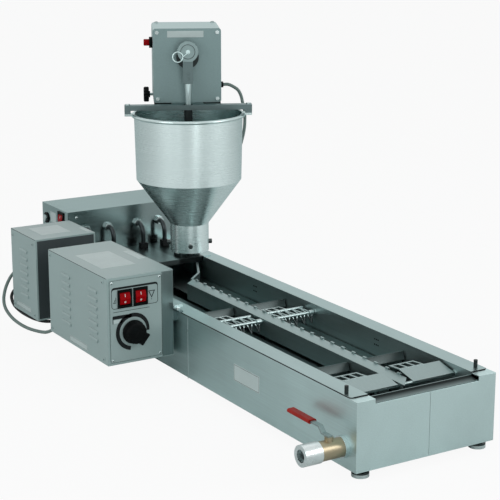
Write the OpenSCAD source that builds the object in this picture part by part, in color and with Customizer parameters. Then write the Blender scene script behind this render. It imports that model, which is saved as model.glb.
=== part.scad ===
// Two-lane donut fryer: oil bath with flippers, heater box, control units and a swivelling dosing head.
// Millimetres, +Z up, +Y to the rear. The origin lies under the middle of the object's box, on the table.

/* [Bath casing] */
// Width of the bath casing across the lanes
bath_w = 250; // [240:1:265]
// Length of the bath casing from front to rear
bath_l = 1072; // [1060:1:1100]
// Height of the casing walls
casing_h = 106; // [102:1:112]
// Thickness of the casing sheet
sheet_t = 1.5; // [1:0.1:2]
// Width of the flange folded in along the top of the casing
casing_flange_w = 12; // [8:1:16]
// Distance of the joint in the left side from the front
side_seam_y = 484; // [300:1:490]
// Distance of the joint in the front from the left side
front_seam_x = 129; // [110:1:150]
// Gap left in the casing joints
seam_gap = 0.5; // [0.3:0.1:1]

/* [Feet] */
// Height of the casing off the table
foot_gap = 14; // [12:0.5:17]
// Diameter of a foot disc
foot_d = 26; // [20:1:34]
// Height of a foot disc
foot_disc_h = 8; // [5:0.5:11]
// Diameter of the foot neck
foot_neck_d = 16; // [12:1:20]
// Diameter of the foot stud
foot_stud_d = 8; // [6:1:10]
// Length of the foot stud above the base plate
foot_stud_l = 9; // [5:1:12]
// Distance of the left feet from the side
foot_left_inset = 22; // [18:1:30]
// Distance of the right feet from the side
foot_right_inset = 14; // [14:1:30]
// Distance of the feet from the casing's ends
foot_end_inset = 20; // [16:1:40]

/* [Tub] */
// Thickness of the rim plate
rim_t = 1.5; // [1:0.1:2]
// Width of the rim along both sides
rim_w = 30; // [26:1:34]
// Distance of the rim edge from the side
rim_gap = 1.6; // [1:0.1:2.5]
// Distance of the rim edge from the front
rim_front_y = 18; // [16:0.5:22]
// Corner radius of the rim plate
rim_corner_r = 7; // [3:0.5:10]
// Thickness of the tub sheet
tub_t = 1.5; // [1:0.1:2]
// Depth of the tub below the rim
tub_depth = 86; // [80:1:90]
// Distance of the tub's rear wall from the terminal box
tub_rear_margin = 12; // [8:1:20]
// Diameter of a rim peg
peg_d = 6; // [5:0.5:8]
// Height of a rim peg above the rim
peg_h = 12; // [8:1:16]
// Distance of the left peg from the rim's front edge
peg_left_y = 18; // [12:0.5:24]
// Distance of the right peg from the rim's front edge
peg_right_y = 12; // [9:0.5:18]
// Distance of the left peg from the side
peg_left_x = 7; // [6.5:0.5:14]
// Distance of the right peg from the side
peg_right_x = 14; // [8:0.5:18]

/* [Discharge lip] */
// Fall of the lip from the rim to the casing front
lip_drop = 8; // [5:0.5:11]
// Fall of the tub's front wall below the rim
front_drop = 4.5; // [2:0.5:4.5]
// Distance of the lip's low edge from the front
lip_front_gap = 2; // [1.5:0.1:4]
// Thickness of the lip sheet
lip_t = 1; // [0.8:0.1:1.5]

/* [Lanes] */
// Width of the lane divider
rail_w = 23; // [18:0.5:28]
// Thickness of the divider sheet
rail_t = 1.5; // [1:0.1:2]
// Depth of the divider's top below the rim
rail_drop = 9; // [7:0.5:10]
// Distance of the divider's front tip from the front
rail_front_y = 41; // [34:1:46]
// Distance of the divider's rear end in front of the hopper's axis
rail_back = 17; // [15:1:27]
// Length of the divider's oblique front end
rail_point_l = 26; // [12:1:34]
// Length of the divider's oblique rear end
rail_rear_point_l = 20; // [10:1:34]
// Distance of the divider's webs from its front tip
rail_web_setback = 40; // [34:1:60]
// Gap between the divider's webs and the lane floors
rail_web_gap = 4; // [2:0.5:8]
// Pitch of the tabs along the divider
tab_pitch = 29; // [20:1:40]
// Length of a tab
tab_l = 8; // [5:0.5:12]
// Width of a tab beyond the divider's edge
tab_w = 1.6; // [1:0.1:1.8]
// Height of a tab above the divider
tab_h = 2.5; // [1:0.5:4]
// Diameter of the stays under the divider and the lane floors
stay_d = 8; // [6:0.5:10]
// Depth of the lane floors below the rim
tray_drop = 42.5; // [38:0.5:48]
// Thickness of the lane floor sheet
tray_t = 1.2; // [1:0.1:1.8]
// Gap between a lane floor and its lane's sides
tray_side_gap = 2; // [1.9:0.1:3]
// Height of the weirs above the lane floors
weir_h = 29; // [20:0.5:31]
// Distance of the mid weir in front of the divider's rear end
mid_weir_back = 185; // [170:1:192]
// Distance of the exit weir from the front
exit_weir_y = 182; // [165:1:195]
// Run of the ramp behind each weir
ramp_run = 50; // [30:1:70]
// Run of the apron plate set in front of each weir
apron_run = 5; // [3:0.5:5.5]
// Fall of the apron
apron_drop = 12; // [6:0.5:16]
// Length of the lane guide's first leg
guide_first_l = 48; // [40:1:52]
// Heading of the lane guide's first leg in degrees
guide_first_turn = 45; // [42:1:50]
// Heading of the lane guide's middle leg in degrees
guide_mid_turn = 63; // [62:1:70]
// Length of the lane guide's last leg
guide_last_l = 14; // [8:1:30]
// Gap between the lane guide's last leg and the tub's wall
guide_wall_gap = 7.1; // [6:0.1:15]
// Width of the flange along the top of the lane guide
guide_flange_w = 4; // [2:0.5:6]

/* [Flippers] */
// Diameter of the flipper shafts
flip_shaft_d = 5; // [4:0.5:6]
// Diameter of the flipper's cross rods
flip_rod_d = 5; // [4:0.5:6]
// Diameter of the zigzag wires
flip_wire_d = 2.6; // [2:0.1:3]
// Zigzags of wire across a lane
flip_zigs = 5; // [3:1:7]
// Depth of the flipper shafts below the rim
flip_drop = 13.5; // [13:0.1:15]
// Distance of the mid flipper's shaft in front of the mid weir
flip_back = 93; // [85:1:105]
// Distance of the mid flipper's rod behind its shaft
flip_rod_run = 33; // [28:0.5:38]
// Length of the short wires below the mid flipper's shaft
flip_tail_l = 16; // [10:0.5:18]
// Distance of the flipper pieces from their lane's sides
flip_side_gap = 3; // [2.5:0.1:5]
// Diameter of the collars at the shaft ends
flip_collar_d = 9; // [7.5:0.5:10]
// Diameter of the shaft bearings
bearing_d = 10; // [8.5:0.5:12]
// Length of the shaft bearings on the tub walls
bearing_l = 2; // [1.5:0.1:2.3]
// Distance of the exit flap's shaft from the front
exit_y = 57; // [54:0.5:64]
// Length of the exit flap's slide plate
slide_l = 37; // [32:0.5:40]
// Length of the slide plate in front of its shaft
slide_nose = 3; // [2:0.5:5]
// Slope of the slide plate in degrees
slide_slope = 13; // [8:0.5:16]
// Thickness of the slide plate and the ladder combs
slide_t = 1.5; // [1:0.1:2]
// Length of a ladder comb
ladder_l = 28; // [24:0.5:36]
// Width of a ladder comb
ladder_w = 46; // [36:0.5:56]
// Width of a ladder comb's bars
ladder_bar = 3.5; // [2.5:0.5:5]
// Windows in a ladder comb
ladder_windows = 3; // [2:1:4]
// Slope of a ladder comb in degrees
ladder_slope = 5; // [0:0.5:15]

/* [Rear cover] */
// Length of the cover in front of the terminal box
cover_l = 140; // [138:0.5:145]
// Thickness of the cover plate
cover_t = 1.5; // [1:0.1:2]
// Overlap of the cover on the rims
cover_overlap = 16; // [10:0.5:22]
// Height of the lip folded down at the cover's front
cover_lip_h = 8; // [4:0.5:8.5]

/* [Heater] */
// Diameter of the heater tubes
heater_d = 8.5; // [7:0.5:10]
// Pitch of the inner element's legs
heater_inner_pitch = 64; // [56:1:72]
// Distance of the outer element's left leg from the tub's wall
heater_left_gap = 5.4; // [5.4:0.1:14]
// Distance of the outer element's right leg from the tub's wall
heater_right_gap = 23.4; // [23:0.1:32]
// Distance of the legs in front of the terminal box
heater_leg_run = 25; // [24:0.5:32]
// Height of the glands above the rim
heater_gland_h = 48; // [42:1:56]
// Bend radius of the tubes
heater_bend_r = 18; // [14:0.5:20]
// Height of the elements above the floor
heater_floor_h = 14; // [10:0.5:20]
// Distance of the elements' front turn from the tub's front
heater_front_gap = 90; // [60:1:110]
// Width of a gland nut across its corners
gland_nut_d = 17; // [14:0.5:20]
// Height of a gland nut
gland_nut_h = 7; // [5:0.5:9]
// Diameter of a gland's threaded sleeve
gland_sleeve_d = 12; // [10.5:0.5:13.5]
// Width and length of a rubber boot
boot_w = 14; // [12:0.5:18]
// Height of a rubber boot
boot_h = 11; // [6:0.5:16]

/* [Terminal box] */
// Depth of the terminal box
rear_box_l = 119; // [110:1:130]
// Height of the terminal box above the casing
rear_box_h = 86; // [80:1:96]
// Ways of the terminal block
block_ways = 6; // [4:1:8]
// Width of the terminal block
block_w = 90; // [70:1:110]
// Depth of the terminal block
block_l = 22; // [16:1:30]
// Height of the terminal block
block_h = 20; // [14:1:30]
// Distance of the rear rocker behind the box's front
rear_rocker_y = 31; // [26:0.5:40]
// Depth of the rear rocker below the top
rear_rocker_drop = 20; // [19:0.5:30]
// Distance of the reset button in front of the box's rear
reset_y = 20; // [16:0.5:30]
// Depth of the reset button below the top
reset_drop = 28; // [20:0.5:36]
// Diameter of the reset button
reset_d = 13; // [10:0.5:16]
// Diameter of the reset button's collar
reset_collar_d = 21; // [18:0.5:25]
// Height of the reset button above its collar
reset_h = 4; // [3.5:0.5:6]

/* [Rocker switches] */
// Width of a rocker's bezel
bezel_w = 26; // [24:0.5:28]
// Height of a rocker's bezel
bezel_h = 31; // [29:0.5:33]
// Thickness of a bezel
bezel_t = 2; // [1.5:0.1:3]
// Width of a rocker
rocker_w = 18.5; // [17:0.5:21]
// Radius of a rocker's ends about its pivot
rocker_r = 11; // [10:0.1:12.6]
// Depth of a rocker's pivot behind the panel
rocker_pivot = 4; // [3:0.5:5]
// Height of a rocker's ridge above its bezel
rocker_rise = 2; // [1.5:0.1:2.5]
// Wall of a rocker's switch body
switch_wall = 1.5; // [1:0.1:2]
// Depth of a switch body behind the panel
switch_l = 20; // [18:0.5:26]

/* [Units on the left side] */
// Gap between the units and the casing
unit_gap = 8; // [7:0.5:12]
// Height of the units' floors off the table
unit_z = 46; // [42:0.5:50]
// Thickness of the units' sheet
unit_t = 1.5; // [1:0.1:2]
// Width of the control unit
control_w = 122; // [116:1:130]
// Length of the control unit
control_l = 232; // [210:1:250]
// Height of the control unit
control_h = 149; // [140:1:160]
// Gap between the control unit and the power unit
unit_space = 65; // [54:1:70]
// Width of the power unit
power_w = 118; // [110:1:120]
// Length of the power unit
power_l = 113; // [105:1:120]
// Height of the power unit
power_h = 151; // [140:1:160]
// Distance of the power unit's rear from the casing's rear
power_back = 143; // [130:1:160]
// Length of a louvre
louvre_l = 34; // [26:1:40]
// Height of a louvre
louvre_h = 6; // [4:0.5:8]
// Depth of a louvre
louvre_d = 2; // [1.5:0.1:3]
// Pitch of the louvres
louvre_pitch = 14; // [12:0.5:16]
// Louvres in a column
louvre_count = 7; // [5:1:7]
// Length of a hanging bracket
bracket_l = 30; // [20:1:40]
// Height of a hanging bracket
bracket_h = 14; // [10:1:18]
// Height of the hanging brackets above the casing
bracket_up = 7; // [4:0.5:10]
// Reach of the front bracket before the control unit
bracket_reach = 20; // [16:1:24]
// Thickness of the front bracket's ear
bracket_ear_t = 3; // [2:0.5:5]
// Diameter of the thumb screw's head
thumb_d = 8; // [7:0.5:10]
// Height of the thumb screw's head
thumb_h = 4; // [3:0.5:6]
// Thickness of the thumb screw's wing
thumb_t = 2; // [1.5:0.1:3]

/* [Control panel] */
// Width of the front plate
panel_w = 96; // [92:1:108]
// Height of the front plate
panel_h = 140; // [130:1:142]
// Thickness of the front plate
panel_t = 1; // [0.8:0.1:1.5]
// Distance of the front plate from the left side
panel_x = 4; // [3:0.5:6]
// Distance of the left rocker from the left side
rocker_left_x = 31.5; // [27:0.5:34]
// Pitch of the two rockers
rocker_pitch = 29; // [28:0.5:32]
// Depth of the rockers below the top
rocker_drop = 37; // [34:0.5:42]
// Distance of the knob from the left side
knob_x = 46; // [42:0.5:54]
// Depth of the knob below the top
knob_drop = 95.5; // [90:0.5:100]
// Diameter of the knob
knob_d = 40; // [34:0.5:44]
// Height of the knob
knob_h = 15; // [12:0.5:20]
// Gap between the knob and its panel
knob_gap = 0.8; // [0.5:0.1:1]
// Reach of the knob's pointer from its axis
pointer_l = 20.5; // [19:0.5:24]
// Width of the knob's pointer
pointer_w = 22; // [14:0.5:26]
// Diameter of the knob's spindle
spindle_d = 6; // [5:0.5:7]
// Diameter of the potentiometer
pot_d = 28; // [22:0.5:34]
// Depth of the potentiometer
pot_l = 20; // [14:0.5:26]

/* [Drain valve] */
// Distance of the drain from the front
drain_y = 31; // [31:0.5:40]
// Height of the drain's axis above the floor
drain_floor_h = 10; // [9.5:0.5:14]
// Outer diameter of the drain pipe
drain_pipe_d = 17; // [15:0.5:18]
// Bore of the drain pipe and of the valve
drain_bore_d = 13; // [10:0.5:13]
// Diameter of the collar at the casing
collar_d = 33; // [30:0.5:36]
// Length of the collar
collar_l = 7; // [5:0.5:9]
// Diameter of the valve body
valve_d = 29; // [27:0.5:32]
// Length of the valve body
valve_l = 37; // [34:0.5:42]
// Diameter of the end cap
cap_d = 32; // [30:0.5:35]
// Length of the end cap
cap_l = 29; // [24:0.5:32]
// Bore of the drain outlet
outlet_d = 19; // [17:0.5:20]
// Depth of the drain outlet's bore
outlet_l = 14; // [10:0.5:16]
// Diameter of the valve's ball
ball_d = 18; // [16:0.5:20]
// Bore of the valve's ball
ball_bore_d = 12; // [9:0.5:12.5]
// Diameter of the valve's stem
stem_d = 7; // [6:0.5:8]
// Diameter of the stem boss
boss_d = 13; // [11:0.5:14]
// Height of the stem boss above the valve body
boss_h = 5; // [4:0.5:8]
// Width of the lever
lever_w = 8; // [7.5:0.5:11]
// Thickness of the lever
lever_t = 2.5; // [2:0.1:3]
// Rise of the lever's step
lever_rise = 8; // [6:0.5:11]
// Distance of the lever's step from the stem
lever_step_y = 22; // [16:0.5:26]
// Length of the lever from the stem
lever_l = 98; // [90:1:104]
// Length of the lever's sleeve
sleeve_l = 56; // [46:1:62]
// Thickness of the lever's sleeve around the lever
sleeve_t = 1.9; // [1.5:0.1:3]

/* [Dosing head] */
// Distance of the hopper's axis from the casing's right side
hop_right = 110; // [106:0.5:116]
// Distance of the hopper's axis in front of the terminal box
hop_back = 226; // [222:0.5:231]
// Turn of the head from the bath's axis in degrees
head_yaw = 26.5; // [25:0.5:28]
// Distance of the post behind the hopper
post_v = 128; // [126:0.5:129]
// Diameter of the post
post_d = 30; // [26:0.5:32]
// Diameter of the post's flange
post_flange_d = 50; // [44:0.5:56]
// Thickness of the post's flange
post_flange_h = 6; // [5:0.5:8]
// Width of the motor box
motor_w = 122; // [116:1:128]
// Depth of the motor box
motor_l = 122; // [121:0.5:128]
// Height of the motor box
motor_h = 133; // [131:1:140]
// Distance of the motor box behind the hopper
motor_v = 25; // [24.5:0.1:25.5]
// Height of the motor box's floor off the table
motor_z = 432; // [430:0.5:434]
// Corner radius of the motor box
motor_r = 5; // [3:0.5:8]
// Thickness of the motor box's sheet and cover
motor_t = 1.5; // [1:0.1:2]
// Diameter of the cover screw heads
cover_screw_d = 7; // [6:0.5:8]
// Distance of the cover screws from the box's sides
cover_screw_inset = 7; // [6:0.5:9]
// Width of the clamp block
clamp_w = 50; // [42:1:60]
// Height of the clamp block
clamp_h = 32; // [26:1:34]
// Width of the clamp block's slit
clamp_slit = 2; // [1:0.1:3]
// Wall of the clamp block around the post
clamp_wall = 5; // [4:0.5:6]
// Diameter of the clamp knob
clamp_knob_d = 28; // [24:0.5:30]
// Thickness of the clamp knob
clamp_knob_h = 12; // [9:0.5:15]
// Gap between the clamp knob and the motor box
clamp_knob_gap = 5; // [3:0.5:7]
// Diameter of the clamp knob's stud
clamp_stud_d = 5; // [4:0.5:5]
// Height of the clamp stud above the motor box's floor
clamp_stud_h = 4.8; // [4.5:0.1:7]
// Diameter of the push button
button_d = 12; // [10:0.5:14]
// Diameter of the push button's collar
button_collar_d = 20; // [17:0.5:24]
// Thickness of the push button's collar
button_collar_h = 6; // [5:0.5:8]
// Height of the push button above its collar
button_h = 10; // [6:0.5:11]
// Distance of the push button behind the box's front
button_v = 45; // [35:1:50]
// Depth of the push button below the top
button_drop = 29; // [24:0.5:34]

/* [Dosing drive] */
// Height of the crank's axis above the motor box's floor
crank_h = 83; // [82.5:0.1:83.5]
// Throw of the crank
crank_throw = 11.5; // [9:0.1:12]
// Diameter of the crank disc
crank_d = 40; // [36:0.5:42]
// Thickness of the crank disc
crank_t = 7; // [5:0.5:8]
// Diameter of the crank's shaft
crank_shaft_d = 10; // [8:0.5:12]
// Diameter of the crank's pin
crank_pin_d = 8; // [6:0.5:9]
// Diameter of the rod's eye
eye_d = 37; // [34:0.5:39]
// Thickness of the rod's eye
eye_t = 10; // [8:0.5:10]
// Diameter of the recess in the rod's eye
eye_recess_d = 21; // [16:0.5:25]
// Depth of the recess in the rod's eye
eye_recess = 1; // [0.5:0.1:2]
// Width of the rod's bar
con_rod_w = 18; // [15:0.5:20]
// Thickness of the rod's bar
con_rod_t = 7; // [5:0.5:8]
// Length of the rod's bar below the eye's centre
con_rod_l = 57; // [52:0.5:57.5]
// Diameter of the rod's sleeve at its top
rod_sleeve_d = 13; // [11:0.5:14]
// Diameter of the rod's sleeve at its foot
rod_foot_d = 10; // [9:0.5:11]
// Length of the rod's sleeve
rod_sleeve_l = 41; // [38:0.5:42]
// Diameter of the hitch clip's wire
clip_d = 2.2; // [1.8:0.1:2.6]
// Diameter of the plunger's rod
plunger_d = 15; // [12:0.5:15.5]
// Diameter of the plunger's piston
piston_d = 36; // [30:0.5:40]
// Height of the piston
piston_h = 14; // [10:0.5:18]
// Height of the piston above the nozzle's mouth
piston_lift = 40; // [38:0.5:41]
// Diameter of the plunger's tip
tip_d = 9; // [7:0.5:11]
// Length of the plunger's tip below the hopper's neck
tip_l = 10; // [6:0.5:12]

/* [Hopper] */
// Height of the neck's lower edge off the table
neck_z = 165; // [163:0.5:166]
// Outer diameter of the neck
neck_d = 70; // [66:0.5:74]
// Height of the neck
neck_h = 51; // [48:0.5:54]
// Height of the cone
cone_h = 82; // [76:0.5:88]
// Height of the upper wall
wall_h = 119; // [116:0.5:121]
// Outer diameter of the upper wall at its foot
wall_low_d = 190; // [184:0.5:194]
// Outer diameter of the upper wall at its top
wall_top_d = 195; // [192:0.5:197]
// Thickness of the hopper's sheet
hopper_t = 1.5; // [1:0.1:2]
// Diameter of the rolled rim
roll_d = 6; // [5:0.5:7]
// Thickness of the hopper's ears
ear_t = 4; // [3:0.5:5]
// Width of the hopper's ears and of the yoke's ends
ear_w = 16; // [12:0.5:20]
// Height of the nozzle block
nozzle_h = 42; // [38:0.5:46]
// Diameter of the neck screws
neck_screw_d = 5; // [4:0.5:6]
// Diameter of the neck screws' heads
neck_head_d = 9; // [7:0.5:11]
// Length of a neck screw's head
neck_head_l = 6; // [3:0.5:8]
// Height of the neck screws above the neck's lower edge
neck_screw_h = 14; // [10:0.5:18]

/* [Yoke] */
// Reach of the yoke's ends beyond the hopper's wall
yoke_reach = 16.5; // [14:0.5:20]
// Height of the yoke bar
yoke_h = 9; // [7:0.5:10]
// Depth of the yoke bar
yoke_w = 18; // [16:0.5:22]
// Length of the yoke's end blocks
yoke_end_l = 11; // [9:0.5:12]
// Width of the arm under the motor box
arm_w = 56; // [50:1:64]
// Bore of the yoke bar for the rod
yoke_bore_d = 17; // [16.5:0.5:17.5]

/* [Cables] */
// Diameter of the cables
cable_d = 6; // [5:0.5:7]
// Diameter of a cable gland
gland_d = 11; // [10:0.5:14]
// Length of a cable gland
gland_l = 9; // [7:0.5:12]
// Distance of the motor box's gland behind its front
motor_gland_v = 80; // [76:0.5:84]
// Height of the motor box's gland above its floor
motor_gland_h = 21; // [18:0.5:26]
// Distance of the terminal box's top gland from the casing's right side
top_gland_x = 35; // [25:0.5:40]
// Distance of the terminal box's top gland behind the box's front
top_gland_y = 40; // [30:0.5:50]
// Distance of the mains gland from the casing's right side
mains_gland_x = 60; // [40:1:100]
// Distance of the units' glands from their left sides
unit_gland_x = 30; // [26:1:44]
// Height of the control unit's rear gland above its floor
control_gland_h = 20; // [16:0.5:30]
// Height of the power unit's upper rear gland above its floor
power_gland_h = 66; // [60:0.5:80]
// Height of the power unit's lower rear gland above its floor
power_low_gland_h = 30; // [24:0.5:40]
// Distance of the casing's cable gland behind the power unit's face
casing_gland_run = 36; // [29:1:44]
// Height of the casing's cable gland above the casing's foot
casing_gland_h = 16; // [12:0.5:20]

/* [Hidden] */
$fn = 64;

// Finishes as the object shows them
steel = "#a9b8b6";
dark_steel = "#59646a";
paint = "#9fb0ae";
black = "#1d2122";
red = "#c8202a";
brass = "#b39a63";
chrome = "#d3d9da";

// One overrun for every cut, and the clearances
over = 1;
run_fit = 0.05;
fit_gap = 0.3;
small_gap = 0.2;

// Levels off the table
z_deck = foot_gap + casing_h;
z_rim = z_deck + rim_t;
z_floor = z_rim - tub_depth;
z_rail = z_rim - rail_drop;
z_tray = z_rim - tray_drop;
z_flip = z_rim - flip_drop;
z_heater = z_floor + heater_floor_h;
z_drain = z_floor + drain_floor_h;
z_cover = z_rim + cover_t;

// Plan of the bath
tub_x0 = rim_gap + rim_w;
tub_x1 = bath_w - tub_x0;
tub_y0 = rim_front_y + tub_t;
rear_box_y = bath_l - rear_box_l;
tub_y1 = rear_box_y - tub_rear_margin;
cover_front_y = rear_box_y - cover_l;
hop_x = bath_w - hop_right;
hop_y = rear_box_y - hop_back;
rail_rear_y = hop_y - rail_back;
mid_weir_y = rail_rear_y - mid_weir_back;
flip_y = mid_weir_y - flip_back;
heater_outer_pitch = tub_x1 - heater_right_gap - tub_x0 - heater_left_gap;
rail_x0 = (bath_w - rail_w) / 2;
rail_x1 = rail_x0 + rail_w;
tray_l_x0 = tub_x0 + tray_side_gap;
tray_l_x1 = rail_x0 - tray_side_gap;
tray_r_x0 = rail_x1 + tray_side_gap;
tray_r_x1 = tub_x1 - tray_side_gap;
flip_l_x0 = tub_x0 + flip_side_gap;
flip_l_x1 = rail_x0 - flip_side_gap;
flip_r_x0 = rail_x1 + flip_side_gap;
flip_r_x1 = tub_x1 - flip_side_gap;
flip_lanes = [[flip_l_x0, flip_l_x1], [flip_r_x0, flip_r_x1]];

// Folds of the lane guide, from the divider's rear end
guide_start = [rail_x1, rail_rear_y + fit_gap];
guide_fold = guide_start + guide_first_l * [cos(guide_first_turn), sin(guide_first_turn)];
guide_mid_l = (tub_x1 - guide_wall_gap - guide_fold[0]) / cos(guide_mid_turn);
guide_bend = guide_fold + guide_mid_l * [cos(guide_mid_turn), sin(guide_mid_turn)];
guide_end = guide_bend + [0, guide_last_l];

// Plan of the units and the drain
control_x = -unit_gap - control_w;
power_x = -unit_gap - power_w;
power_y = bath_l - power_back - power_l;
control_y = power_y - unit_space - control_l;
casing_gland_y = power_y + casing_gland_run;
knob_z = unit_z + control_h - knob_drop;
rocker_z = unit_z + control_h - rocker_drop;
valve_x = -collar_l - valve_l / 2;

// Levels of the head
motor_top = motor_z + motor_h;
crank_z = motor_z + crank_h;
eye_z = crank_z + crank_throw;
yoke_z = motor_z - yoke_h;
rod_foot_z = eye_z - con_rod_l - rod_sleeve_l;
cone_z = neck_z + neck_h;
wall_z = cone_z + cone_h;
hopper_z = wall_z + wall_h;
roll_r = wall_top_d / 2 + roll_d / 2 - hopper_t;
yoke_l = wall_top_d + 2 * yoke_reach;
piston_z = neck_z + piston_lift;
block_z = motor_z + motor_t;
stud_z = motor_z + clamp_stud_h;
clamp_v = post_v - post_d / 2 - clamp_wall - clamp_stud_d;
eye_front_v = -eye_t / 2;
crank_v = eye_t / 2 + crank_pin_d / 2;

// Place of the post, and the box that the origin is taken from
post_x = hop_x + post_v * sin(head_yaw);
post_y = hop_y + post_v * cos(head_yaw);
box_x0 = control_x - louvre_d;
box_x1 = hop_x + (motor_v + motor_l) * sin(head_yaw) + (motor_w / 2) * cos(head_yaw);
box_y1 = bath_l + gland_l;
origin = [(box_x0 + box_x1) / 2, box_y1 / 2, 0];

// Cable routes between their glands, from the hopper's axis and from the power unit's corner
motor_exit = head_point(motor_w / 2 + gland_l, motor_v + motor_gland_v, motor_z + motor_gland_h);
motor_out = head_point(motor_w / 2 + 2 * gland_l, motor_v + motor_gland_v, motor_z + motor_gland_h);
top_gland = [bath_w - top_gland_x, rear_box_y + top_gland_y, z_deck + rear_box_h];
motor_route = concat(
    [motor_exit, motor_out],
    [for (p = [
        [126, 55, 449], [135, 52, 442], [141, 51, 431], [145, 52, 418], [150, 54, 404], [153, 57, 388],
        [155, 62, 368], [155, 69, 348], [154, 80, 326], [150, 99, 304], [143, 123, 286], [132, 153, 272],
        [119, 185, 262], [105, 215, 257], [91, 241, 254], [80, 258, 249]
    ]) p + [hop_x, hop_y, 0]],
    [top_gland + [0, 0, 4 * gland_l], top_gland + [0, 0, 2 * gland_l], top_gland + [0, 0, gland_l]]
);
mains_gland = [bath_w - mains_gland_x, bath_l, z_deck + rear_box_h / 2];
power_rear = [power_x + unit_gland_x, power_y + power_l + gland_l, unit_z + power_gland_h];
control_rear = [control_x + unit_gland_x, control_y + control_l + gland_l, unit_z + control_gland_h];
link_route = concat(
    [power_rear, power_rear + [0, gland_l, 0]],
    [for (p = [
        [26, 141, 110], [17, 145, 103], [5, 141, 93], [-7, 134, 77], [-15, 125, 60], [-19, 109, 47],
        [-19, 84, 37], [-16, 59, 31], [-10, 34, 27], [-2, 9, 26], [8, -12, 27], [17, -23, 33],
        [23, -27, 42], [26, -29, 54]
    ]) p + [power_x, power_y, 0]],
    [control_rear + [0, 2 * gland_l, 0], control_rear + [0, gland_l, 0], control_rear]
);
power_low = [power_x + unit_gland_x, power_y + power_l + gland_l, unit_z + power_low_gland_h];
casing_gland = [-gland_l, casing_gland_y, foot_gap + casing_gland_h];
supply_route = concat(
    [power_low, power_low + [0, gland_l, 0]],
    [for (p = [
        [25, 141, 74], [14, 143, 68], [5, 136, 58], [4, 122, 46], [8, 104, 38], [14, 86, 33],
        [23, 66, 29], [36, 50, 27], [56, 40, 28], [80, 36, 30]
    ]) p + [power_x, power_y, 0]],
    [casing_gland - [2 * gland_l, 0, 0], casing_gland - [gland_l, 0, 0], casing_gland]
);
cable_sides = 10;

// A point of the head, from its distances right of and behind the hopper
function head_point(u, v, z) = [
    hop_x + u * cos(head_yaw) + v * sin(head_yaw),
    hop_y - u * sin(head_yaw) + v * cos(head_yaw),
    z
];

// Frames carried along a cable's route
function unit(v) = v / norm(v);
function tangent(p, i) = unit(p[min(i + 1, len(p) - 1)] - p[max(i - 1, 0)]);
function carried(n, t) = unit(n - t * (n * t));
function normals(p, n, i = 0) =
    i == len(p) ? [] : let (m = carried(n, tangent(p, i))) concat([m], normals(p, m, i + 1));

// Tube swept along a route, with its ends square to the route
module tube_along(route, d) {
    last = len(route) - 1;
    side = normals(route, [0.3, 0.2, 0.9]);
    points = [
        for (i = [0:last]) let (t = tangent(route, i), n = side[i], b = cross(t, n))
            for (k = [0:cable_sides - 1]) let (a = 360 * k / cable_sides)
                route[i] + d / 2 * (cos(a) * n + sin(a) * b)
    ];
    walls = [
        for (i = [0:last - 1]) for (k = [0:cable_sides - 1])
            let (a = i * cable_sides + k, b = i * cable_sides + (k + 1) % cable_sides)
                each [[a, a + cable_sides, b], [b, a + cable_sides, b + cable_sides]]
    ];
    first_end = [for (k = [1:cable_sides - 2]) [0, k, k + 1]];
    far = last * cable_sides;
    far_end = [for (k = [1:cable_sides - 2]) [far, far + k + 1, far + k]];
    polyhedron(points, concat(walls, first_end, far_end));
}

// Everything is modelled from the casing's front left corner and then moved to the origin
module placed() {
    translate(-origin) children();
}

// The head's pieces, from the hopper's axis, with +Y to the rear of the head
module head() {
    placed() translate([hop_x, hop_y, 0]) rotate([0, 0, -head_yaw]) children();
}

module slab(x, y, z) {
    translate([x[0], y[0], z[0]]) cube([x[1] - x[0], y[1] - y[0], z[1] - z[0]]);
}

module bar_x(x, y, z, d) {
    translate([x[0], y, z]) rotate([0, 90, 0]) cylinder(h = x[1] - x[0], d = d);
}

module bar_y(x, y, z, d) {
    translate([x, y[0], z]) rotate([-90, 0, 0]) cylinder(h = y[1] - y[0], d = d);
}

module bar_z(x, y, z, d) {
    translate([x, y, z[0]]) cylinder(h = z[1] - z[0], d = d);
}

// Straight wire between two points of the plane that lies across the lanes
module wire(from, to, d) {
    run = to - from;
    flat = norm([run[0], run[1]]);
    translate(from) rotate([0, atan2(flat, run[2]), atan2(run[1], run[0])])
        cylinder(h = norm(run), d = d, $fn = 16);
}

// Rounded rectangle with its corner at the origin
module rounded(w, h, r) {
    translate([r, 0]) square([w - 2 * r, h]);
    translate([0, r]) square([w, h - 2 * r]);
    for (x = [r, w - r], y = [r, h - r]) translate([x, y]) circle(r);
}

// Drain bore through whatever lies between two distances from the casing's left side
module drain_cut(x, d) {
    bar_x(x, drain_y, z_drain, d);
}

// Casing
module casing_front_left() {
    color(steel) placed() difference() {
        union() {
            slab([0, front_seam_x - seam_gap / 2], [0, sheet_t], [foot_gap, z_deck]);
            slab([0, sheet_t], [0, side_seam_y - seam_gap / 2], [foot_gap, z_deck]);
            slab([0, casing_flange_w], [0, side_seam_y - seam_gap / 2], [z_deck - sheet_t, z_deck]);
            slab([0, tub_x0], [0, rim_front_y - fit_gap], [z_deck - sheet_t, z_deck]);
        }
        slab([tub_x0, bath_w], [-over, rim_front_y + over], [z_rim - lip_t - lip_drop, z_deck + over]);
        drain_cut([-over, sheet_t + over], drain_pipe_d + 2 * small_gap);
    }
}

module casing_rear_left() {
    color(steel) placed() difference() {
        union() {
            slab([0, sheet_t], [side_seam_y + seam_gap / 2, bath_l], [foot_gap, z_deck]);
            slab([0, bath_w - sheet_t], [bath_l - sheet_t, bath_l], [foot_gap, z_deck]);
            slab([0, casing_flange_w], [side_seam_y + seam_gap / 2, bath_l], [z_deck - sheet_t, z_deck]);
            slab([0, bath_w - casing_flange_w], [bath_l - casing_flange_w, bath_l],
                [z_deck - sheet_t, z_deck]);
        }
        bar_x([-over, sheet_t + over], casing_gland_y, casing_gland[2], cable_d);
    }
}

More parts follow.
